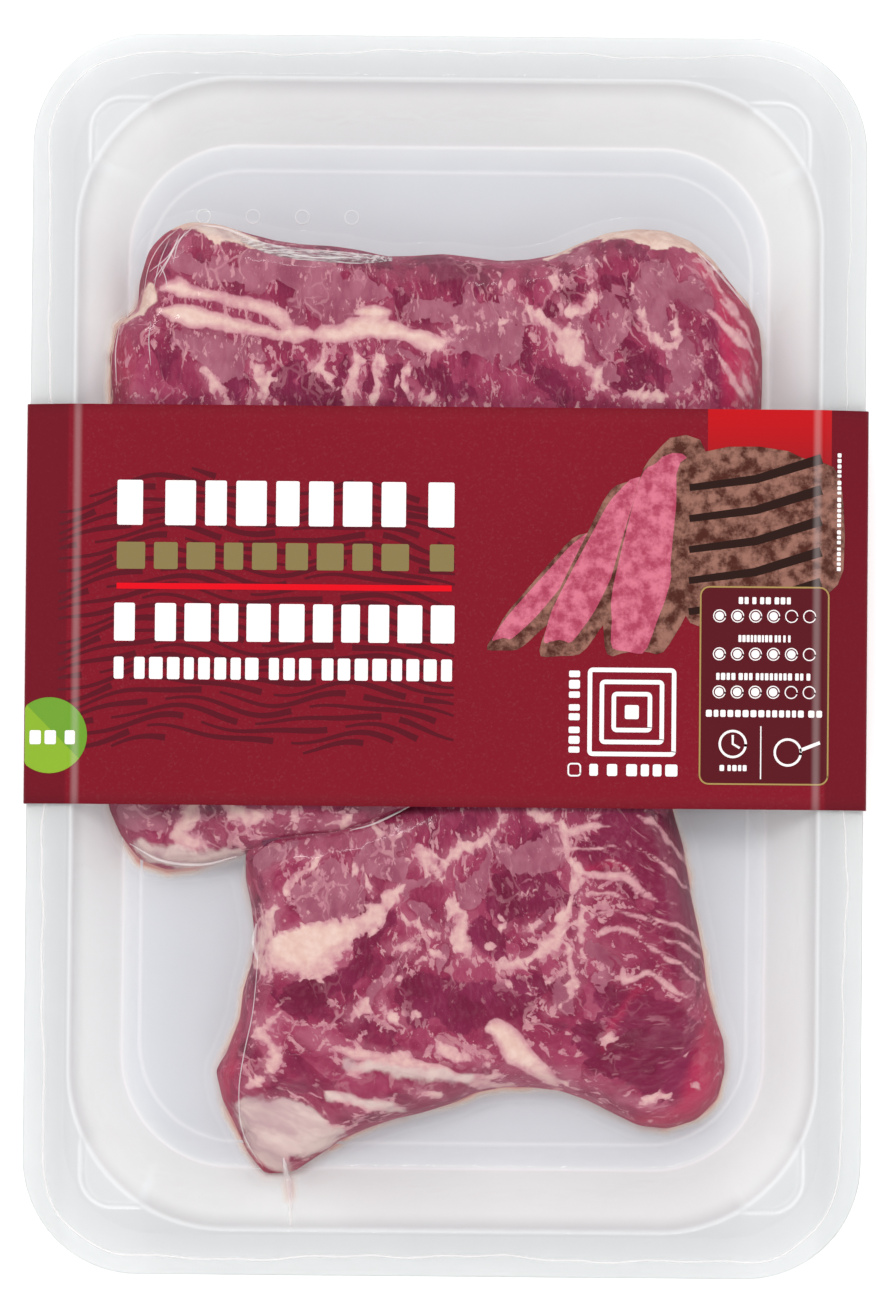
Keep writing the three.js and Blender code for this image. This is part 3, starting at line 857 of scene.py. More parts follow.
def stroke(seam, pointed):
    """Points along a mark in metres, with half its width there; its ends may run to points."""
    line = smooth_line([(*photo(x, y), width * PIXEL / 2) for x, y, width in seam], 1.5 * MM)
    if pointed:
        gone = np.concatenate([[0], np.cumsum(np.hypot(*np.diff(line[:, :2], axis=0).T))])
        to_end = np.minimum(gone, gone[-1] - gone)
        line[:, 2] *= 0.45 + 0.55 * np.clip(to_end / (1.3 * line[:, 2] + 1e-9), 0, 1)
    return line


def reach_into(seams, x, y, pointed=False):
    """How far points are inside the nearest mark, in metres; below zero they are outside."""
    best = np.full(x.shape, -1.0)
    for seam in seams:
        line = stroke(seam, pointed)
        for (ax, ay, half_a), (bx, by, half_b) in zip(line, line[1:]):
            run_x, run_y = bx - ax, by - ay
            share = np.clip(((x - ax) * run_x + (y - ay) * run_y) / (run_x**2 + run_y**2), 0, 1)
            away = np.hypot(x - ax - share * run_x, y - ay - share * run_y)
            best = np.maximum(best, half_a + (half_b - half_a) * share - away)
    return best


def noise_field(points, size, seed):
    """Smooth noise at points, about size metres a blob, from -1 to 1."""
    shift = Vector((seed * 7.3, seed * 3.1, seed * 5.7))
    return np.array([noise.noise(Vector(p) / size + shift) for p in points])


def grain_place(points, grain):
    """Places across and along the fibres, in millimetres, whose turn changes from left to right."""
    left_turn, right_turn, left_x, right_x = grain
    share = (points[:, 0] - photo(left_x, 900)[0]) / ((right_x - left_x) * PIXEL)
    turn = np.radians(left_turn + (right_turn - left_turn) * np.clip(share, -0.2, 1.2))
    middle = points.mean(axis=0)
    x, y = points[:, 0] - middle[0], points[:, 1] - middle[1]
    across = x * np.cos(turn) + y * np.sin(turn)
    along = y * np.cos(turn) - x * np.sin(turn)
    return np.column_stack([across, along, points[:, 2]]) / MM


def make_steak(node, marks, grain, material, seed):
    """A steak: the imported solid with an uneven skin, and the reach of each kind of mark on it."""
    steak = end_mesh(node + "_meat", joined_mesh(node))
    mesher = steak.modifiers.new("even", "REMESH")
    mesher.mode = "VOXEL"
    mesher.voxel_size = VOXEL
    soft = steak.modifiers.new("soft", "SMOOTH")
    soft.factor = 0.5
    soft.iterations = 14
    apply_modifiers(steak)
    points = coordinates(steak)
    normals = np.array([v.normal for v in steak.data.vertices])
    upper = np.clip(normals[:, 2] * 2, 0, 1)
    x = points[:, 0] + WOBBLE * noise_field(points, 4.5 * MM, seed + 3)
    y = points[:, 1] + WOBBLE * noise_field(points, 4.5 * MM, seed + 4)
    reaches = {}
    for name, lines in marks.items():
        reach = reach_into(lines, x, y, name in ("fat_reach", "lean")) / MM
        reaches[name] = np.clip(reach, -6, 8)
    swell = 0.3 * noise_field(points, 11 * MM, seed) + 0.14 * noise_field(points, 4 * MM, seed + 1)
    fibre = 0.06 * noise_field(points, 1.6 * MM, seed + 2)
    lean = reaches.pop("lean")
    reaches["fat_reach"] = np.minimum(reaches["fat_reach"], -lean)
    dent = 0.1 * smooth_step(0, 1, reaches["fat_reach"])
    moved = points + normals * ((swell + fibre - dent) * upper * MM)[:, None]
    out = BULGE * smooth_step(2.5, 8, points[:, 2] / MM)
    moved[:, :2] += normals[:, :2] * out[:, None]
    set_coordinates(steak, moved)
    for name, values in reaches.items():
        set_attribute(steak, name, values)
    low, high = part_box(node)
    set_attribute(steak, "height", (moved[:, 2] - low.z) / (high.z - low.z))
    set_attribute(steak, "grain", grain_place(points, grain), "FLOAT_VECTOR")
    finish_piece(steak, material, node)
    return steak


def meat_material():
    """Raw beef, cut and sealed wet: purple-red muscle in bundles parted by fine pink lines, with seams
    and flecks of pink and cream fat. Where the film lies tight on it, a painted sheen of the film
    makes it greyer and paler."""
    material, tree, output = new_material("raw_marbled_beef")
    place = object_place(tree)
    grain = add(tree, "ShaderNodeAttribute", attribute_name="grain").outputs["Vector"]
    bends = {"Vector": place, "Scale": 1 / 5, "Detail": 2.0, "Roughness": 0.4}
    bend = add(tree, "ShaderNodeTexNoise", bends).outputs["Color"]

    def along_grain(squash, warp):
        """The place across and along the fibres, squashed along them, bent by noise."""
        warps = {0: bend, 1: (warp, warp, warp)}
        off = add(tree, "ShaderNodeVectorMath", warps, operation="MULTIPLY").outputs[0]
        moved = add(tree, "ShaderNodeVectorMath", {0: grain, 1: off}).outputs[0]
        return add(tree, "ShaderNodeMapping", {"Vector": moved, "Scale": (1, squash, 1)}).outputs[0]

    def bundles(where, size):
        """A random value for each bundle of fibres, and the distance to its edge in millimetres."""
        sizes = {"Vector": where, "Scale": 1 / size}
        cell = add(tree, "ShaderNodeTexVoronoi", sizes)
        edge = add(tree, "ShaderNodeTexVoronoi", sizes, feature="DISTANCE_TO_EDGE")
        level = add(tree, "ShaderNodeSeparateColor", {0: cell.outputs["Color"]}).outputs[0]
        return level, calculate(tree, "MULTIPLY", edge.outputs["Distance"], size)

    def uneven(size, depth, detail=3.0):
        """Noise about zero, of this depth in all."""
        level = calculate(tree, "SUBTRACT", noise_at(tree, place, size, detail, 0.55), 0.5)
        return calculate(tree, "MULTIPLY", level, depth)

    def plus(first, second):
        return calculate(tree, "ADD", first, second)

    def times(first, second):
        return calculate(tree, "MULTIPLY", first, second)

    def most(first, second):
        return calculate(tree, "MAXIMUM", first, second)

    def scaled(value, factor, shift):
        return calculate(tree, "MULTIPLY_ADD", value, factor, shift)

    lobes = along_grain(0.6, 5.5)
    lobe, lobe_edge = bundles(lobes, 6.5)
    small_lobe, small_edge = bundles(along_grain(0.55, 5.0), 2.6)
    fibres = noise_at(tree, along_grain(0.3, 2.0), 0.7, 2)

    # Muscle, darker where the film stands off it; paler and greyer where the film lies tight on it, a
    # painted sheen of the film
    tone = plus(times(lobe, 0.4), times(step(tree, noise_at(tree, lobes, 6, 4, 0.6), 0.3, 0.7), 0.4))
    tone = plus(tone, times(small_lobe, 0.15))
    reds = [(0.1, "#701a3c"), (0.4, "#8b2a4b"), (0.65, "#9a3c5b"), (0.95, "#a8586e")]
    muscle = ramp(tree, tone, reds)
    calm = step(tree, attribute(tree, "calm"), -1.5, 1.0)
    halo = step(tree, plus(attribute(tree, "fat_reach"), uneven(3, 4)), -2.0, 0.2)
    halo = times(halo, scaled(calm, -0.28, 0.4))
    muscle = mix(tree, halo, muscle, "#b56c80")
    by_lobe = scaled(lobe, 2.4, -1.2)
    by_small = scaled(small_lobe, 2.0, -1.0)
    steps = plus(by_lobe, by_small)
    deep = plus(plus(attribute(tree, "deep"), uneven(4, 4, 4)), times(steps, -0.8))
    dark = mix(tree, tone, "#64112f", "#82204a")
    muscle = mix(tree, times(step(tree, deep, -0.3, 0.5), 0.9), muscle, dark)
    # Painted sheen of the film: paler and greyer where it lies tight on the meat
    touch = plus(plus(attribute(tree, "touch"), uneven(4, 3, 4)), times(steps, 0.8))
    sheen_tint = mix(tree, step(tree, noise_at(tree, lobes, 4, 3), 0.3, 0.7), "#914b61", "#a9687a")
    muscle = mix(tree, times(step(tree, touch, -0.05, 0.25), 0.85), muscle, sheen_tint)
    dark_rim = times(step(tree, touch, -0.7, -0.2), step(tree, touch, 0.1, -0.15))
    muscle = mix(tree, times(dark_rim, 0.3), muscle, "#6b1634")
    muscle = mix(tree, times(calm, 0.35), muscle, "#7c1f40")
    red = step(tree, plus(attribute(tree, "red"), uneven(3, 2)), -1.2, 2.0)
    muscle = mix(tree, times(red, 0.85), muscle, mix(tree, tone, "#8e143a", "#bc3058"))
    muscle = mix(tree, times(step(tree, fibres, 0.4, 0.8), 0.08), muscle, "#cf8a9c")

    # Fat: fine lines between the bundles, flecks along the fibres and the drawn seams
    patchy = noise_at(tree, place, 9, 3)
    line_width = scaled(step(tree, patchy, 0.46, 0.66), 0.42, -0.12)
    lines = step(tree, calculate(tree, "SUBTRACT", line_width, lobe_edge), -0.1, 0.1)
    small_patchy = noise_at(tree, lobes, 5, 3)
    small_width = scaled(step(tree, small_patchy, 0.54, 0.72), 0.26, -0.08)
    small_lines = step(tree, calculate(tree, "SUBTRACT", small_width, small_edge), -0.08, 0.08)
    near_seam = step(tree, attribute(tree, "fat_reach"), -4, -0.5)
    fleck = noise_at(tree, along_grain(0.5, 3.0), 1.5, 3, 0.6)
    fleck = scaled(patchy, 0.3, fleck)
    fleck = scaled(near_seam, 0.05, fleck)
    specks = step(tree, noise_at(tree, place, 0.6, 1), 0.69, 0.76)
    flecks = step(tree, fleck, 0.745, 0.81)
    loose = most(times(lines, 0.6), times(small_lines, 0.4))
    scattered = most(times(flecks, 0.9), times(specks, 0.35))
    loose = most(loose, scattered)
    loose = times(loose, scaled(step(tree, deep, -1, 1.5), -0.6, 0.95))
    in_streaks = step(tree, attribute(tree, "streaks"), -1.0, 1.5)
    streaks = step(tree, noise_at(tree, along_grain(0.1, 1.2), 0.9, 2), 0.62, 0.7)
    loose = times(loose, scaled(in_streaks, -0.7, 1.0))
    loose = most(loose, times(times(streaks, in_streaks), 0.45))
    spurs = most(scaled(lobe_edge, -1.3, 0.8), -0.5)
    small_spurs = most(scaled(small_edge, -1.3, 0.35), -0.3)
    ragged = plus(uneven(4.4, 4.6, 4), plus(spurs, small_spurs))
    ragged = times(ragged, scaled(calm, -0.8, 1.0))
    reach = plus(attribute(tree, "fat_reach"), ragged)
    seams = step(tree, reach, -0.25, 0.3)
    blotch = step(tree, noise_at(tree, place, 2.5, 4, 0.6), 0.3, 0.7)
    thin = mix(tree, blotch, "#bd7c8c", "#cf9a9f")
    thick = mix(tree, blotch, "#cf9d9f", "#dfbab3")
    creamy = step(tree, plus(attribute(tree, "cream"), times(ragged, 0.5)), -0.2, 1.6)
    thick = mix(tree, creamy, thick, mix(tree, blotch, "#dcb6aa", "#e6cabf"))
    fat_colour = mix(tree, step(tree, reach, -0.1, 1.4), thin, thick)
    fat = most(seams, loose)
    meat = mix(tree, times(fat, 0.95), muscle, fat_colour)

    # Sides, deeper and redder towards the foot, and the rim's cream fat
    foot = step(tree, attribute(tree, "height"), 0.62, 0.2)
    side = mix(tree, times(fat, 0.5), mix(tree, tone, "#861a35", "#a62845"), "#d99a92")
    meat = mix(tree, times(foot, 0.7), meat, side)
    rim = plus(attribute(tree, "rim_fat"), times(ragged, 0.35))
    rim_fat = mix(tree, blotch, "#d0aa9c", "#e2c8bb")
    meat = mix(tree, step(tree, rim, -0.15, 0.3), meat, mix(tree, times(foot, 0.4), rim_fat, "#d09a88"))

    # The veil of doubled film over some of the fat
    cool = step(tree, plus(attribute(tree, "cool"), uneven(3, 3)), -0.6, 0.8)
    strands = noise_at(tree, along_grain(0.35, 3.0), 3, 3)
    veiled = mix(tree, step(tree, strands, 0.3, 0.65), "#b8999d", "#d8c4bc")
    meat = mix(tree, times(cool, 0.8), meat, veiled)

    bump = add(tree, "ShaderNodeBump", {"Strength": 0.2, "Distance": 0.0003, "Height": fibres})
    look = {
        "Base Color": meat,
        "Roughness": 0.5,
        "Specular IOR Level": 0.12,
        "Normal": bump.outputs[0],
    }
    cover_with(tree, output, look)
    return material


# Film


# The grid that the film is drawn down on, and how far its edge is in from the tray's
FILM_STEP = 0.72 * MM
FILM_INSET = 3 * MM
# How far the film stays off what it lies on, and how hard and how often it is pulled down
FILM_CLEARANCE = 0.22 * MM
FILM_PULL = 0.3 * MM
FILM_ROUNDS = 400
# Juice and painted shade: the height and half width of the dark strip between the steaks, and the
# juice's reach round their feet
SEAM_HEIGHT = 17 * MM
SEAM_HALF_WIDTH = 0.9 * MM
JUICE_REACH = 3.2 * MM
# Juice in folds of the film: pixels and widths as above
JUICE_RUNS = [
    [(284, 1164, 7), (287, 1180, 5), (290, 1198, 3)],
    [(240, 1130, 6), (252, 1158, 8), (266, 1174, 8), (290, 1168, 8), (326, 1146, 6), (352, 1124, 4)],
]


class HeightMap:
    """Heights over an even grid that covers the tray."""

    def __init__(self):
        half_width = TRAY_HALF_WIDTH - FILM_INSET
        half_length = TRAY_HALF_LENGTH - FILM_INSET
        self.across = np.arange(-half_width, half_width + FILM_STEP / 2, FILM_STEP)
        self.up = np.arange(-half_length, half_length + FILM_STEP / 2, FILM_STEP)
        self.x, self.y = np.meshgrid(self.across, self.up)
        corner = TRAY_CORNER - FILM_INSET
        self.past = rounded_rectangle(half_width, half_length, corner, self.x, self.y)
        self.floor = tray_top(self.x, self.y)

    def meat_heights(self, steaks):
        """Height of the meat at each place, far below where there is none."""
        top = np.full(self.x.shape, -1.0)
        for steak in steaks:
            tree = BVHTree.FromObject(steak, bpy.context.evaluated_depsgraph_get())
            low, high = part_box(steak.name.replace("_meat", ""))
            near_x = np.abs(self.x - (low.x + high.x) / 2) < (high.x - low.x) / 2 + 2 * BULGE
            near_y = np.abs(self.y - (low.y + high.y) / 2) < (high.y - low.y) / 2 + 2 * BULGE
            for row, column in np.argwhere(near_x & near_y):
                start = Vector((self.x[row, column], self.y[row, column], 0.05))
                hit = tree.ray_cast(start, Vector((0, 0, -1)))[0]
                if hit:
                    top[row, column] = max(top[row, column], hit.z)
        return top


def widen(heights):
    """The highest of each place and its eight neighbours."""
    best = heights.copy()
    for down in (-1, 0, 1):
        for right in (-1, 0, 1):
            best = np.maximum(best, np.roll(heights, (down, right), (0, 1)))
    return best


def stretch_film(grid, meat):
    """Height of the film: drawn down by the vacuum on to the meat and the tray, round at each foot."""
    stop = np.maximum(widen(meat) + FILM_CLEARANCE, grid.floor + FILM_CLEARANCE)
    film = stop + 4 * MM
    for _ in range(FILM_ROUNDS):
        around = sum(np.roll(film, shift, axis) for shift in (-1, 1) for axis in (0, 1)) / 4
        film = np.maximum(around - FILM_PULL, stop)
    return film


def sheet_from_grid(name, grid, heights, keep):
    """A surface over the kept cells of the grid; points past the film's edge move in to it."""
    index = np.full(grid.x.shape, -1)
    rows, columns = grid.x.shape
    cells = keep[:-1, :-1] & keep[1:, :-1] & keep[:-1, 1:] & keep[1:, 1:]
    used = np.zeros_like(keep)
    for down in (0, 1):
        for right in (0, 1):
            used[down : rows - 1 + down, right : columns - 1 + right] |= cells
    index[used] = np.arange(used.sum())
    points = np.column_stack([grid.x[used], grid.y[used], heights[used]])
    corners = [index[:-1, :-1], index[:-1, 1:], index[1:, 1:], index[1:, :-1]]
    faces = np.column_stack([c[cells] for c in corners])
    return mesh_object(name, points, faces.tolist()), used


def make_film(grid, meat, material):
    """The film over the meat and the tray, with a slightly wavy cut edge; gives its heights."""
    film = stretch_film(grid, meat)
    wave = np.sin(grid.x / (3.1 * MM) + np.sin(grid.y / (4.7 * MM)))
    wave = wave * np.sin(grid.y / (3.7 * MM) + 2 * np.sin(grid.x / (6.1 * MM)))
    edge = 0.9 * MM + 0.5 * MM * wave
    piece, _ = sheet_from_grid("skin_film", grid, film, grid.past < -edge)
    finish_piece(piece, material, "film")
    return film


def film_material():
    """Skin film: clear and glossy, seen only by its reflections and sharp glints."""
    material, tree, output = new_material("clear_skin_film")
    place = object_place(tree)
    ripple = noise_at(tree, place, 5, 2, 0.6)
    bump = add(tree, "ShaderNodeBump", {"Strength": 0.35, "Distance": 0.0008, "Height": ripple})
    gloss = {
        "Base Color": colour("#ffffff"),
        "Metallic": 1.0,
        "Roughness": 0.12,
        "Normal": bump.outputs["Normal"],
    }
    cover_with(tree, output, gloss, 0.04)
    return material


def outline_of(node):
    """The edges of a steak seen from above, where its upper side meets its vertical sides."""
    work = joined_mesh(node)
    edges = []
    for edge in work.edges:
        tilt = sorted(face.normal.z for face in edge.link_faces)
        if tilt[-1] > 0.01 and abs(tilt[0]) < 0.01:
            edges.append([tuple(v.co.xy) for v in edge.verts])
    work.free()
    return np.array(edges)


def distance_to_edges(edges, x, y):
    """How far points are from the nearest edge."""
    nearest = np.full(x.shape, 1.0)
    for a, b in edges:
        run = b - a
        share = np.clip(((x - a[0]) * run[0] + (y - a[1]) * run[1]) / run.dot(run), 0, 1)
        nearest = np.minimum(nearest, np.hypot(x - a[0] - share * run[0], y - a[1] - share * run[1]))
    return nearest


def inside_edges(edges, x, y):
    """Whether points are inside the outline that the edges form."""
    within = np.zeros(x.shape, bool)
    for (ax, ay), (bx, by) in edges:
        if ay != by:
            crossing = ax + (bx - ax) * (y - ay) / (by - ay)
            within ^= ((ay > y) != (by > y)) & (x < crossing)
    return within


def make_juice(grid, outlines, material):
    """A thin line of meat juice round the steaks' feet, between the tray and the film."""
    away = np.full(grid.x.shape, 1.0)
    for edges in outlines:
        distance = distance_to_edges(edges, grid.x, grid.y)
        distance = np.where(inside_edges(edges, grid.x, grid.y), -distance, distance)
        away = np.minimum(away, distance - 0.8 * BULGE)
    away = np.minimum(away, -reach_into(JUICE_RUNS, grid.x, grid.y))
    keep = (away < JUICE_REACH) & (away > -1.5 * MM)
    piece, used = sheet_from_grid("juice", grid, grid.floor + 0.1 * MM, keep)
    set_attribute(piece, "away", away[used] / MM)
    set_attribute(piece, "run", reach_into(JUICE_RUNS, grid.x[used], grid.y[used]) / MM)
    finish_piece(piece, material)


def make_seam(outlines, material):
    """Dark juice and painted shade: a dark strip that fills the gap where the two steaks press
    together.
    """
    middles = [(a + b) / 2 for a, b in outlines[0]]
    close = [m for m in middles if distance_to_edges(outlines[1], m[:1], m[1:])[0] < 1.1 * MM]
    line = smooth_line(sorted(close, key=lambda m: m[0]), 1.5 * MM)
    way = np.gradient(line, axis=0)
    side = np.column_stack([-way[:, 1], way[:, 0]]) / np.hypot(*way.T)[:, None] * SEAM_HALF_WIDTH
    flat = np.concatenate([line + side, line - side])
    points = np.column_stack([flat, np.full(len(flat), SEAM_HEIGHT)])
    count = len(line)
    faces = [(i, i + 1, count + i + 1, count + i) for i in range(count - 1)]
    finish_piece(mesh_object("seam_juice_and_shade", points, faces), material)


def juice_material():
    """Meat juice: dark red where it is deep, straw-coloured and clear where it thins out."""
    material, tree, output = new_material("meat_juice")
    place = object_place(tree)
    uneven = calculate(tree, "SUBTRACT", noise_at(tree, place, 9, 3, 0.5), 0.5)
    away = calculate(tree, "MULTIPLY_ADD", uneven, 2.4, attribute(tree, "away"))
    straw = [(0.0, "#c88a80"), (0.1, "#dab4a2"), (0.25, "#e4ccba"), (0.5, "#ece0d2")]
    tint = ramp(tree, calculate(tree, "MULTIPLY", away, 0.33), straw)
    tint = mix(tree, step(tree, attribute(tree, "run"), -0.6, 0.8), tint, "#a83c38")
    # Painted light: the juice glows faintly in its own tint, for the light that comes up through the
    # tray
    wet = {
        "Base Color": tint,
        "Roughness": 0.25,
        "Emission Color": tint,
        "Emission Strength": 0.3,
    }
    pools = step(tree, noise_at(tree, place, 26, 2), 0.38, 0.6)
    there = calculate(tree, "MULTIPLY_ADD", pools, 0.6, 0.2)
    near_end = step(tree, along_axis(tree, place, "Y"), 86, 70)
    there = calculate(tree, "MULTIPLY", there, near_end)
    cover = calculate(tree, "MULTIPLY", step(tree, away, 1.9, -0.1), there)
    cover_with(tree, output, wet, cover)
    return material


# Folds of the film: pixels along each and its width in millimetres
FOLDS = [
    ([(258, 943), (256, 980), (252, 1017), (244, 1055),
      (239, 1090), (240, 1125), (248, 1148), (262, 1170)], 0.24),
    ([(283, 1160), (286, 1180), (290, 1203), (291, 1228)], 1.3),
    ([(350, 832), (372, 826), (394, 816), (416, 804)], 0.45),
    ([(168, 236), (158, 262), (152, 290)], 0.2),
    ([(178, 232), (170, 252), (158, 276)], 0.35),
    ([(190, 226), (178, 238), (166, 256)], 0.3),
    ([(184, 229), (176, 244), (172, 262)], 0.25),
    ([(172, 250), (160, 268), (152, 280)], 0.25),
    ([(178, 224), (162, 238), (148, 262), (142, 290)], 0.22),
    ([(176, 244), (164, 258), (148, 270)], 0.25),
    ([(158, 262), (164, 276), (166, 288)], 0.25),
    ([(150, 322), (148, 340), (150, 366)], 0.22),
    ([(200, 222), (224, 226), (256, 240), (285, 247)], 0.6),
    ([(262, 244), (300, 250), (340, 251), (386, 256)], 0.35),
    ([(272, 250), (312, 257), (352, 257), (380, 258)], 0.3),
    ([(280, 248), (300, 255), (330, 254)], 0.25),
    ([(306, 252), (330, 258), (356, 254), (372, 256)], 0.25),
    ([(118, 324), (114, 350), (115, 385)], 0.3),
    ([(256, 925), (253, 945), (257, 962)], 0.9),
    ([(128, 845), (160, 862), (200, 866), (236, 858)], 0.6),
    ([(700, 250), (728, 280), (748, 306)], 0.5),
]
# The wrinkled web of film that bridges the dip in the larger steak's far side
WEB = [([(240, 238), (268, 248), (300, 254), (336, 257), (366, 258), (392, 257)], 2.8)]
# Height of a fold and of the web, in halves of their widths
FOLD_RISE = 0.8
WEB_RISE = 0.12


def film_edge_line():
    """The film's cut edge on the flange, which wanders a little and comes back to its start."""
    side = FILM_INSET + 1.1 * MM
    flat = ring_points(tray_spokes(30, 60, 40), side, side, TRAY_CORNER - side)
    angle = np.arctan2(flat[:, 1], flat[:, 0])
    wander = 0.5 * np.sin(9 * angle) + 0.3 * np.sin(23 * angle + 1) + 0.2 * np.sin(57 * angle)
    flat = flat * (1 + wander * MM / np.hypot(flat[:, 0], flat[:, 1]))[:, None]
    return np.concatenate([flat, flat[:1]])


def in_metres(folds):
    """The folds with their pixels turned to places on the part."""
    return [([photo(x, y) for x, y in pixels], width) for pixels, width in folds]


def film_height(grid, film, x, y):
    """Height of the film at places between the grid's points."""
    column = np.clip((x - grid.across[0]) / FILM_STEP, 0, len(grid.across) - 1.001)
    row = np.clip((y - grid.up[0]) / FILM_STEP, 0, len(grid.up) - 1.001)
    i, j = row.astype(int), column.astype(int)
    t, s = row - i, column - j
    near = film[i, j] * (1 - s) + film[i, j + 1] * s
    far = film[i + 1, j] * (1 - s) + film[i + 1, j + 1] * s
    return near * (1 - t) + far * t


def folds_tree():
    """A node tree that sweeps an arched strip along the piece's edges, as wide as its points say."""
    kinds = [("Lines", "Geometry"), ("Rise", "Float"), ("Material", "Material")]
    tree, inputs = geometry_tree("film_folds", kinds)
    curve = add(tree, "GeometryNodeMeshToCurve", {"Mesh": inputs["Lines"]}).outputs[0]
    upright = add(tree, "GeometryNodeSetCurveNormal", {"Curve": curve}, mode="Z_UP").outputs[0]
    peak = calculate(tree, "MULTIPLY", inputs["Rise"], -2)
    middle = add(tree, "ShaderNodeCombineXYZ", {"Y": peak}).outputs[0]
    arch = {"Resolution": 6, "Start": (1, 0, 0), "Middle": middle, "End": (-1, 0, 0)}
    profile = add(tree, "GeometryNodeCurveQuadraticBezier", arch).outputs[0]
    width = add(tree, "GeometryNodeInputNamedAttribute", {"Name": "half_width"}).outputs[0]
    sweep = {"Curve": upright, "Profile Curve": profile, "Scale": width}
    end_tree(tree, add(tree, "GeometryNodeCurveToMesh", sweep).outputs[0], inputs["Material"])
    return tree


def make_folds(name, lines, rise, grid, film, material):
    """Pleats where the film has creased, standing up from it as thin ridges."""
    points, edges, widths = [], [], []
    for corners, width in lines:
        line = smooth_line(corners, 0.6 * MM)
        share = np.clip(np.linspace(0, 1, len(line)), 0.04, 0.96)
        start = len(points)
        height = film_height(grid, film, line[:, 0], line[:, 1]) + 0.03 * MM
        points.extend(np.column_stack([line, height]))
        widths.extend(np.sin(math.pi * share) ** 0.5 * width / 2 * MM)
        edges.extend((start + i, start + i + 1) for i in range(len(line) - 1))
    piece = mesh_object(name, points, [], edges)
    set_attribute(piece, "half_width", widths)
    run_tree(piece, folds_tree(), {"Rise": rise, "Material": material})
    finish_piece(piece)


def web_material():
    """A web of film drawn into fine wrinkles along it, with painted shade in grey between them and a
    painted highlight in white on their tops.
    """
    material, tree, output = new_material("wrinkled_film_web")
    strands = noise_at(tree, object_place(tree, (0.09, 1, 1), 0.06), 0.4, 3, 0.6)
    lit = step(tree, strands, 0.4, 0.62)
    bump = add(tree, "ShaderNodeBump", {"Strength": 0.5, "Distance": 0.0004, "Height": strands})
    tint = mix(tree, lit, "#9a9094", "#d8d2d1")
    look = {"Base Color": tint, "Roughness": 0.3, "Normal": bump.outputs["Normal"]}
    cover_with(tree, output, look, calculate(tree, "MULTIPLY_ADD", lit, 0.4, 0.35))
    return material


def fold_material():
    """Creased film, two or three layers together: whitish, which is partly a painted highlight, with a
    faint painted glow and sharp glints along each ridge.
    """
    material, tree, output = new_material("creased_skin_film")
    wrinkle = noise_at(tree, object_place(tree, (0.3, 1, 1), 0.15), 0.5, 3)
    bump = add(tree, "ShaderNodeBump", {"Strength": 0.6, "Distance": 0.0004, "Height": wrinkle})
    # Painted highlight and glow: the whitish tint and the faint emission stand in partly for light
    # caught in the creases
    look = {
        "Base Color": colour("#f7f2f2"),
        "Roughness": 0.18,
        "Emission Color": colour("#fff8f8"),
        "Emission Strength": 0.12,
        "Normal": bump.outputs["Normal"],
    }
    cover_with(tree, output, look, 0.4)
    return material


# Sleeve


def rounded_line(points, radii, steps=6):
    """An open line whose inner corners are rounded with arcs."""
    line = [Vector(points[0])]
    for before, corner, after, radius in zip(points, points[1:], points[2:], radii):
        before, corner, after = Vector(before), Vector(corner), Vector(after)
        to_before, to_after = (before - corner).normalized(), (after - corner).normalized()
        half = to_before.angle(to_after) / 2
        cut = radius / math.tan(half)
        start, end = corner + to_before * cut, corner + to_after * cut
        for i in range(steps + 1):
            t = i / steps
            line.append(start * (1 - t) ** 2 + corner * 2 * t * (1 - t) + end * t**2)
    line.append(Vector(points[-1]))
    return line


def sleeve_section():
    """The sleeve's outer line in the XZ plane, round from the middle of its base."""
    top = SLEEVE_HIGH.z - PRINT_ROOM
    reach = SLEEVE_HIGH.x - SLEEVE_HUG
    crease = TRAY_HALF_WIDTH - FLANGE_WIDTH
    half = [
        (0, 0),
        (TRAY_HALF_WIDTH - SLEEVE_BASE_INSET, 0),
        (reach, SLEEVE_SIDE_LOW),
        (reach, SLEEVE_SIDE_HIGH),
        (crease, top),
        (0, top),
    ]
    line = rounded_line(half, SLEEVE_RADII)
    return line + [Vector((-p.x, p.y)) for p in line[-2:0:-1]]


def make_sleeve(material):
    """The band of card: its section drawn along the tray, its faces turned outwards, thickened."""
    section = sleeve_section()
    points, faces = [], []
    for row in range(SLEEVE_ROWS + 1):
        y = SLEEVE_LOW.y + (SLEEVE_HIGH.y - SLEEVE_LOW.y) * row / SLEEVE_ROWS
        points.extend((p.x, y, p.y) for p in section)
    count = len(section)
    for row in range(SLEEVE_ROWS):
        for i in range(count):
            j = (i + 1) % count
            a, b = row * count, (row + 1) * count
            faces.append((a + i, a + j, b + j, b + i))
    sleeve = mesh_object("sleeve_card", points, faces)
    work = bmesh.new()
    work.from_mesh(sleeve.data)
    bmesh.ops.recalc_face_normals(work, faces=work.faces)
    middle = (SLEEVE_LOW + SLEEVE_HIGH) / 2
    outward = sum(f.normal.dot(f.calc_center_median() - middle) > 0 for f in work.faces)
    if outward < len(work.faces) / 2:
        bmesh.ops.reverse_faces(work, faces=work.faces)
    work.to_mesh(sleeve.data)
    work.free()
    thick = sleeve.modifiers.new("card", "SOLIDIFY")
    thick.thickness = CARD
    thick.offset = -1
    apply_modifiers(sleeve)
    finish_piece(sleeve, material, "sleeve")
    return sleeve


def painted_crease_highlight(tree, tint):
    """The tint, paler along the sleeve's two long creases: a painted highlight where the creases catch
    the light.
    """
    across = calculate(tree, "ABSOLUTE", along_axis(tree, object_place(tree), "X"))
    away = calculate(tree, "ABSOLUTE", calculate(tree, "SUBTRACT", across, CREASE_SHINE))
    painted_highlight = calculate(tree, "MULTIPLY", step(tree, away, 1.3, 0.1), 0.14)
    return mix(tree, painted_highlight, tint, "#f4e4e4")


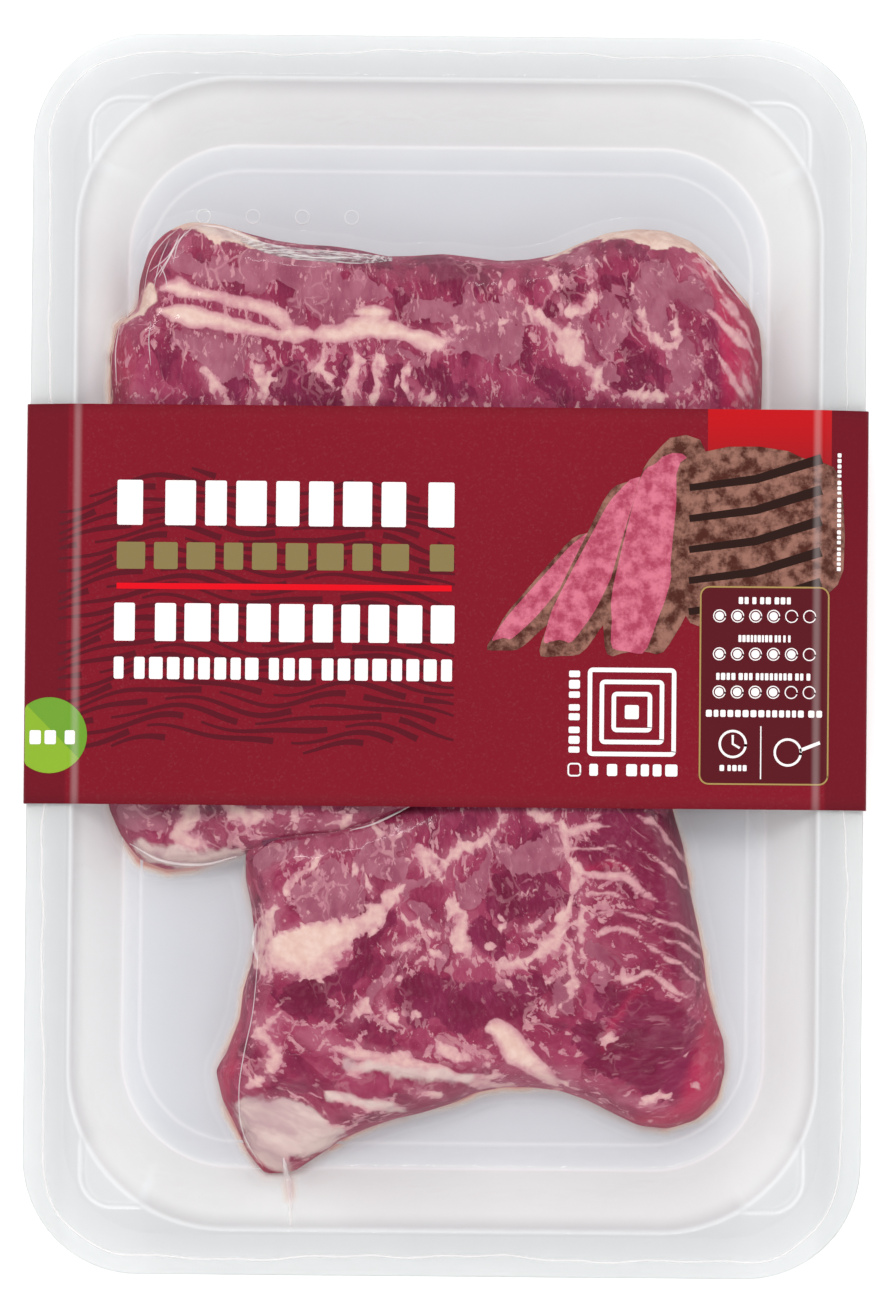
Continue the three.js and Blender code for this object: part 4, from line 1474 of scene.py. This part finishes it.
def card_material():
    """Coated carton printed dark red, with a satin varnish; its raw edges stay the same red. Its sides
    past the creases carry painted shade, and each crease a painted highlight.
    """
    material, tree, output = new_material("varnished_carton")
    place = object_place(tree)
    across = calculate(tree, "ABSOLUTE", along_axis(tree, place, "X"))
    speck = noise_at(tree, place, 0.5, 2)
    cloud = noise_at(tree, place, 60, 2)
    red = mix(tree, cloud, "#781524", "#831a29")
    red = mix(tree, step(tree, speck, 0.5, 0.9), red, mix(tree, 0.02, red, "#ffffff"))
    # Painted shade: darker past each crease, where the card's sides slope away from the light
    beyond = calculate(tree, "MULTIPLY", step(tree, across, 81.4, 82.2), 0.65)
    red = painted_crease_highlight(tree, mix(tree, beyond, red, "#621320"))
    bump = add(tree, "ShaderNodeBump", {"Strength": 0.04, "Distance": 0.0001, "Height": speck})
    look = {
        "Base Color": red,
        "Roughness": 0.45,
        "Specular IOR Level": 0.08,
        "Normal": bump.outputs["Normal"],
    }
    cover_with(tree, output, look)
    return material


# Print on the sleeve: fields of colour and simple shapes, in pixels of the photograph


def block(x0, y0, x1, y1, corner=0.0):
    """A rectangle, its corners rounded by a radius."""
    if not corner:
        return [(x0, y0), (x1, y0), (x1, y1), (x0, y1)]
    outline = []
    turns = [(x1 - corner, y1 - corner), (x0 + corner, y1 - corner)]
    turns += [(x0 + corner, y0 + corner), (x1 - corner, y0 + corner)]
    for index, (x, y) in enumerate(turns):
        for i in range(7):
            angle = math.pi / 2 * (index + i / 6)
            outline.append((x + corner * math.cos(angle), y + corner * math.sin(angle)))
    return outline


def disc(x, y, radius, count=32):
    """A round shape."""
    angles = [2 * math.pi * i / count for i in range(count)]
    return [(x + radius * math.cos(a), y + radius * math.sin(a)) for a in angles]


def ribbon(points, width):
    """Four-sided shapes along a line; the width is one number or one for each end."""
    points = np.array(points, float)
    way = np.gradient(points, axis=0)
    way /= np.hypot(way[:, 0], way[:, 1])[:, None]
    side = np.column_stack([-way[:, 1], way[:, 0]])
    widths = np.linspace(*(width if isinstance(width, tuple) else (width, width)), len(points))
    left, right = points + side * widths[:, None] / 2, points - side * widths[:, None] / 2
    return [[left[i], left[i + 1], right[i + 1], right[i]] for i in range(len(points) - 1)]


def loop_ribbon(outline, width):
    """A ribbon round a closed outline."""
    closed = [*outline, outline[0], outline[1]]
    return ribbon(closed, width)


def word_row(x0, x1, y0, y1, count, seed):
    """A row of letter-sized blocks that stands for a line of words."""
    random = np.random.default_rng(seed)
    widths = random.uniform(0.8, 1.25, count)
    gaps = np.where(random.random(count) < 0.18, 0.9, 0.38)
    gaps[-1] = 0
    unit = (x1 - x0) / (widths.sum() + gaps.sum())
    shapes, x = [], x0
    for width, gap in zip(widths * unit, gaps * unit):
        shapes.append(block(x, y0, x + width, y1, min(2.0, width / 4)))
        x += width + gap
    return shapes


def sleeve_height(x):
    """Height of the sleeve's upper side over a place across it."""
    section = sleeve_section()
    upper = [p for p in section[: len(section) // 2 + 1] if p.y > BENDS_ABOVE]
    upper.sort(key=lambda p: p.x)
    return np.interp(abs(x), [p.x for p in upper], [p.y for p in upper])


def make_print(name, shapes, layer, material):
    """Flat shapes laid on the sleeve, and bent with it past its creases."""
    work = bmesh.new()
    for shape in shapes:
        corners = []
        for x, y in shape:
            right = (x - SLEEVE_PIXEL_X) * PIXEL
            up = (SLEEVE_PIXEL_Y - y) * PIXEL + (SLEEVE_LOW.y + SLEEVE_HIGH.y) / 2
            corners.append(work.verts.new((right, min(up, SLEEVE_HIGH.y), 0)))
        work.faces.new(corners)
    for bend in sleeve_section():
        if abs(bend.x) > BENDS_FROM and bend.y > BENDS_ABOVE:
            geometry = work.verts[:] + work.edges[:] + work.faces[:]
            place = (bend.x, 0, 0)
            bmesh.ops.bisect_plane(work, geom=geometry, plane_co=place, plane_no=(1, 0, 0))
    bmesh.ops.triangulate(work, faces=work.faces)
    for vertex in work.verts:
        vertex.co.z = sleeve_height(vertex.co.x) + layer * PRINT_LAYER
    for face in work.faces:
        if face.normal.z < 0:
            face.normal_flip()
    finish_piece(end_mesh(name, work), material, smooth=False)


def ink(name, code, second=None, gloss=0.42):
    """Printed ink under the sleeve's varnish; two codes give it a soft mottle. It takes the creases'
    painted highlight too.
    """
    material, tree, output = new_material(name)
    tint = colour(code)
    if second:
        mottle = step(tree, noise_at(tree, object_place(tree), 3, 5, 0.65), 0.35, 0.65)
        tint = mix(tree, mottle, code, second)
    look = {"Base Color": painted_crease_highlight(tree, tint), "Roughness": gloss, "Specular IOR Level": 0.2}
    cover_with(tree, output, look)
    return material


def red_fade_material():
    """A bright red field that darkens into the sleeve's own red."""
    material, tree, output = new_material("red_ink_fade")
    place = object_place(tree)
    up = step(tree, along_axis(tree, place, "Y"), 32.0, 54.0)
    red = ramp(tree, up, [(0.0, "#7e1d29"), (0.35, "#98181f"), (1.0, "#bb1219")])
    look = {"Base Color": painted_crease_highlight(tree, red), "Roughness": 0.42, "Specular IOR Level": 0.2}
    cover_with(tree, output, look)
    return material


# Two low hills of engraved-looking lines: each hill's middle, width and share of the height
HILLS = [(170, 95, 1.0), (360, 80, 0.8)]
HILLS_X = (60, 462)
HILLS_Y = (470, 750)
HILL_ROWS = 30
HILL_TOP = 462
HILL_SPACING = 10
LINE_WIDTHS = (2.4, 6.4)


def hill_lines():
    """Rows of broken lines that thicken along each piece and rise over each hill."""
    shapes = []
    for row in range(HILL_ROWS):
        line, base = [], HILL_TOP + HILL_SPACING * row
        for x in np.arange(*HILLS_X, 6):
            near = 0
            for middle, width, share in HILLS:
                near += share * math.exp(-(((x - middle) / width) ** 2))
            y = base + 34 * (1 - near) + 3 * math.sin(x / 17 + row)
            inside = HILLS_Y[0] + 60 * (1 - near) <= y <= HILLS_Y[1] + 8 * math.sin(x / 40)
            if inside:
                line.append((x, y))
            if not inside or math.sin(x / 23 + row * 2.4) > 0.93:
                if len(line) > 3:
                    shapes += ribbon(line, LINE_WIDTHS)
                line = []
        if len(line) > 3:
            shapes += ribbon(line, LINE_WIDTHS[::-1])
    return shapes


# Slices of roast meat on the print: the middle, length, height and lean of each
SLICES = [
    (556, 590, 54, 160, 0.7),
    (606, 566, 68, 200, 0.45),
    (660, 552, 82, 222, 0.22),
    (756, 536, 172, 178, 0.04),
]


# The slice with bars of char on it is the last; the others show pink flesh, set in from the crust
FLESH_INSET = 9
CHAR_BARS = 5
CHAR_SPACING = 31


def slice_outline(x, y, width, length, lean, shrink=0.0):
    """A leaning, squarish, slightly wavy shape."""
    outline = []
    for i in range(36):
        angle = 2 * math.pi * i / 36
        cos, sin = math.cos(angle), math.sin(angle)
        wave = 1 + 0.05 * math.sin(3 * angle + x) + 0.03 * math.sin(7 * angle)
        px = (width / 2 - shrink) * wave * math.copysign(abs(cos) ** 0.6, cos)
        py = (length / 2 - shrink) * wave * math.copysign(abs(sin) ** 0.6, sin)
        outline.append((x + px + py * math.sin(-lean), y + py * math.cos(lean)))
    return outline


def make_slices():
    """Fanned slices, each darker outside and pink within, one over the other."""
    crust = ink("brown_ink", "#4a241c", "#96695c")
    flesh = ink("pink_ink", "#a63e58", "#d07288")
    char = ink("dark_brown_ink", "#2a1713")
    for index, (x, y, width, length, lean) in enumerate(SLICES):
        layer = 1 + 0.6 * index
        outline = slice_outline(x, y, width, length, lean)
        make_print(f"print_slice_{index}", [outline], layer, crust)
        if index < len(SLICES) - 1:
            inner = slice_outline(x - FLESH_INSET, y, width - 8, length, lean, FLESH_INSET)
            make_print(f"print_flesh_{index}", [inner], layer + 0.3, flesh)
            continue
        bars = []
        for i in range(CHAR_BARS):
            bar_y = y + CHAR_SPACING * (i - CHAR_BARS // 2)
            bar = [(x - 66, bar_y + 14), (x, bar_y + 5), (x + 66, bar_y - 16)]
            bars += ribbon(bar, (7, 10))
        make_print("print_char", bars, layer + 0.3, char)


# Rows of blocks: left, right, top, bottom, how many, and the seed of their widths
WORD_ROWS = [
    (118, 455, 485, 530, 9, 1),
    (116, 456, 608, 646, 11, 2),
    (116, 454, 662, 684, 20, 3),
]
OLIVE_ROW = (118, 455, 547, 574, 10, 4)
# Other shapes: left, top, right, bottom and, where they have one, the radius of their corners
RED_FIELD = (708, 404, 832, 500)
RULE = (118, 588, 453, 594)
PANEL = (702, 587, 830, 784, 9)
# The round badge: its middle and radius, and its row of blocks
BADGE = (52, 741, 38)
BADGE_ROW = (32, 78, 736, 750, 3, 5)
# Ratings on the panel: height of each row of rings, how many are filled, and the row of blocks over it
RATINGS = [
    (616, 4, (740, 792, 597, 604, 8, 6)),
    (654, 5, (740, 792, 635, 642, 13, 7)),
    (692, 4, (718, 812, 673, 680, 18, 8)),
]
RATING_X = 721
RATING_SPACING = 18
RATING_COUNT = 6
PANEL_ROWS = [(708, 824, 710, 717, 16, 9), (722, 749, 765, 771, 5, 10)]
# A clock and a pan on the panel, and the line between them
CLOCK = (735, 744, 13)
CLOCK_HANDS = [(735, 735), (735, 744), (742, 748)]
PAN = (790, 752, 13)
PAN_HANDLE = [(802, 750), (822, 742)]
PANEL_LINE = [(763, 726), (763, 779)]
# The target of nested squares: its middle and half sizes; its square dot and ring; its rows
TARGET = (634, 713)
TARGET_SIZES = (42, 30, 18)
TARGET_DOT = (627, 706, 641, 720, 2)
TARGET_RING = (571, 765, 583, 777, 3)
TARGET_ROW = (592, 680, 765, 777, 6, 11)
# Rows of blocks that run up the sleeve: top, bottom, left, right, how many, and the seed
TARGET_COLUMN = (672, 754, 571, 582, 8, 12)
EDGE_COLUMN = (452, 570, 838, 842, 22, 13)


def word_column(row):
    """A row of blocks that runs up the sleeve."""
    return [[(y, x) for x, y in shape] for shape in word_row(*row)]


def badge_outline():
    """The round badge, cut off where the sleeve ends."""
    return [(max(x, BADGE_CUT), y) for x, y in disc(*BADGE, 48) if x > BADGE_CUT - 3]


def panel_marks():
    """Rings, dots, blocks, a clock and a pan on the dark panel."""
    marks = []
    for y, filled, row in RATINGS:
        for i in range(RATING_COUNT):
            x = RATING_X + RATING_SPACING * i
            marks += loop_ribbon(disc(x, y, 6, 20), 1.1)
            if i < filled:
                marks.append(disc(x, y, 4.2, 20))
        marks += word_row(*row)
    marks += word_row(*PANEL_ROWS[0])
    marks += ribbon(PANEL_LINE, 1.2)
    marks += loop_ribbon(disc(*CLOCK), 2.4)
    marks += ribbon(CLOCK_HANDS, 2.2)
    marks += word_row(*PANEL_ROWS[1])
    marks += loop_ribbon(disc(*PAN), 2.4)
    marks += ribbon(PAN_HANDLE, 3.4)
    return marks


def target_shapes():
    """Nested squares with blocks beside and under them."""
    x, y = TARGET
    shapes = []
    for size in TARGET_SIZES:
        shapes += loop_ribbon(block(x - size, y - size, x + size, y + size, 3), 4.5)
    shapes.append(block(*TARGET_DOT))
    shapes += word_row(*TARGET_ROW)
    shapes += loop_ribbon(block(*TARGET_RING), 1.6)
    shapes += word_column(TARGET_COLUMN)
    return shapes + word_column(EDGE_COLUMN)


def make_prints():
    """All the print, from the lowest layer up."""
    white = ink("white_ink", "#f4eeee")
    olive = ink("olive_ink", "#85754a")
    wine = ink("dark_wine_ink", "#591320")
    make_print("print_hills", hill_lines(), 0.6, wine)
    make_print("print_red_field", [block(*RED_FIELD)], 0.6, red_fade_material())
    make_slices()
    words = [shape for row in WORD_ROWS for shape in word_row(*row)]
    make_print("print_words", words, 2, white)
    make_print("print_olive", word_row(*OLIVE_ROW), 2, olive)
    make_print("print_rule", [block(*RULE)], 2, ink("scarlet_ink", "#dd0a1c"))
    badge = badge_outline()
    make_print("print_badge", [badge], 2, ink("green_ink", "#6a9a2e"))
    light_green = ink("light_green_ink", "#86ac2c")
    half = [(x, y) for x, y in badge if x - y < BADGE[0] - BADGE[1] + 12]
    make_print("print_badge_half", [half], 2.5, light_green)
    make_print("print_badge_words", word_row(*BADGE_ROW), 3, white)
    panel = block(*PANEL)
    make_print("print_panel", [panel], 3.3, ink("panel_ink", "#57141d"))
    make_print("print_panel_rim", loop_ribbon(panel, 1.6), 3.6, ink("gold_ink", "#a58a52"))
    make_print("print_panel_marks", panel_marks(), 3.9, white)
    make_print("print_target", target_shapes(), 3, white)


# Stage, lights and camera


def make_stage():
    """A sweep of white paper under the pack, bright like the photograph's."""
    corners = [(x * FLOOR_REACH, y * FLOOR_REACH, 0) for x, y in [(-1, -1), (1, -1), (1, 1), (-1, 1)]]
    floor = mesh_object("floor", corners, [(0, 1, 2, 3)])
    material, tree, output = new_material("white_paper_sweep")
    paper = {
        "Base Color": colour("#fbfbfb"),
        "Roughness": 0.8,
        "Specular IOR Level": 0.1,
        "Emission Color": colour("#ffffff"),
        "Emission Strength": 0.3,
    }
    cover_with(tree, output, paper)
    floor.data.materials.append(material)


def area_light(name, place, size, power):
    """A rectangular white lamp aimed at the pack."""
    data = bpy.data.lights.new(name, "AREA")
    data.shape = "RECTANGLE"
    data.size, data.size_y = size
    data.energy = power
    lamp = bpy.data.objects.new(name, data)
    lamp.location = place
    lamp.rotation_euler = (-Vector(place)).to_track_quat("-Z", "Y").to_euler()
    bpy.context.scene.collection.objects.link(lamp)
    return lamp


def make_lights():
    """A bright room whose ceiling over the pack is darker, and a soft key beyond the far end."""
    world = bpy.data.worlds.new("studio")
    world.use_nodes = True
    tree = world.node_tree
    tree.nodes.clear()
    way = add(tree, "ShaderNodeTexCoord").outputs["Generated"]
    levels = {
        "Value": along_axis(tree, way, "Z"),
        "From Min": CEILING_FROM[0],
        "From Max": CEILING_FROM[1],
        "To Min": ROOM_LIGHT,
        "To Max": CEILING_LIGHT,
    }
    level = add(tree, "ShaderNodeMapRange", levels).outputs["Result"]
    sky = add(tree, "ShaderNodeBackground", {"Strength": level, "Color": (1, 1, 1, 1)})
    add(tree, "ShaderNodeOutputWorld", {"Surface": sky.outputs[0]})
    bpy.context.scene.world = world
    key = area_light("key", *KEY_LAMP)
    fill = area_light("fill", *FILL_LAMP)
    key.visible_glossy = fill.visible_glossy = False
    area_light("glint", *GLINT_LAMP)


def make_camera():
    """The photograph's camera, almost straight above, with the whole frame fitted in."""
    data = bpy.data.cameras.new("camera")
    data.sensor_fit = "VERTICAL"
    data.sensor_height = SENSOR
    data.lens = SENSOR * (CAMERA_DISTANCE - RIM / 2) / (PHOTO_HEIGHT * PIXEL)
    data.clip_end = 10
    camera = bpy.data.objects.new("camera", data)
    target = Vector((*photo(PHOTO_WIDTH / 2, PHOTO_HEIGHT / 2), RIM / 2))
    back = Vector((0, -math.cos(CAMERA_ELEVATION), math.sin(CAMERA_ELEVATION)))
    camera.location = target + back * CAMERA_DISTANCE
    aim = (target - camera.location).to_track_quat("-Z", "Y")
    roll = Quaternion((0, 0, 1), PHOTO_TURN)
    camera.rotation_mode = "QUATERNION"
    camera.rotation_quaternion = aim @ roll
    bpy.context.scene.collection.objects.link(camera)
    bpy.context.scene.camera = camera


bpy.context.scene.view_settings.view_transform = "Standard"
make_camera()
make_lights()
make_stage()
make_tray(tray_material(), tray_underside_material())
make_marks(ink("moulded_bead", "#f2f2f4", gloss=0.3))
beef = meat_material()
upper_marks = {
    "fat_reach": UPPER_SEAMS,
    "rim_fat": UPPER_RIM_FAT,
    "cream": UPPER_CREAM,
    "lean": UPPER_LEAN,
    "touch": UPPER_SHEEN,
    "deep": UPPER_DEEP,
    "red": UPPER_RED,
    "cool": UPPER_COOL,
    "calm": UPPER_CALM,
    "streaks": UPPER_STREAKS,
}
lower_marks = {
    "fat_reach": LOWER_SEAMS,
    "rim_fat": [],
    "cream": LOWER_CREAM,
    "lean": LOWER_LEAN,
    "touch": LOWER_SHEEN,
    "deep": LOWER_DEEP,
    "red": LOWER_RED,
    "cool": LOWER_COOL,
    "calm": LOWER_CALM,
    "streaks": LOWER_STREAKS,
}
upper_steak = make_steak("steak_upper", upper_marks, UPPER_GRAIN, beef, 1)
lower_steak = make_steak("steak_lower", lower_marks, LOWER_GRAIN, beef, 2)
grid = HeightMap()
meat_top = grid.meat_heights([upper_steak, lower_steak])
film_top = make_film(grid, meat_top, film_material())
pleats = [*in_metres(FOLDS), (film_edge_line(), 0.5)]
make_folds("film_folds", pleats, FOLD_RISE, grid, film_top, fold_material())
make_folds("film_web", in_metres(WEB), WEB_RISE, grid, film_top, web_material())
outlines = [outline_of("steak_upper"), outline_of("steak_lower")]
make_juice(grid, outlines, juice_material())
make_seam(outlines, ink("seam_juice_and_shade", "#642440", gloss=0.4))
make_sleeve(card_material())
make_prints()
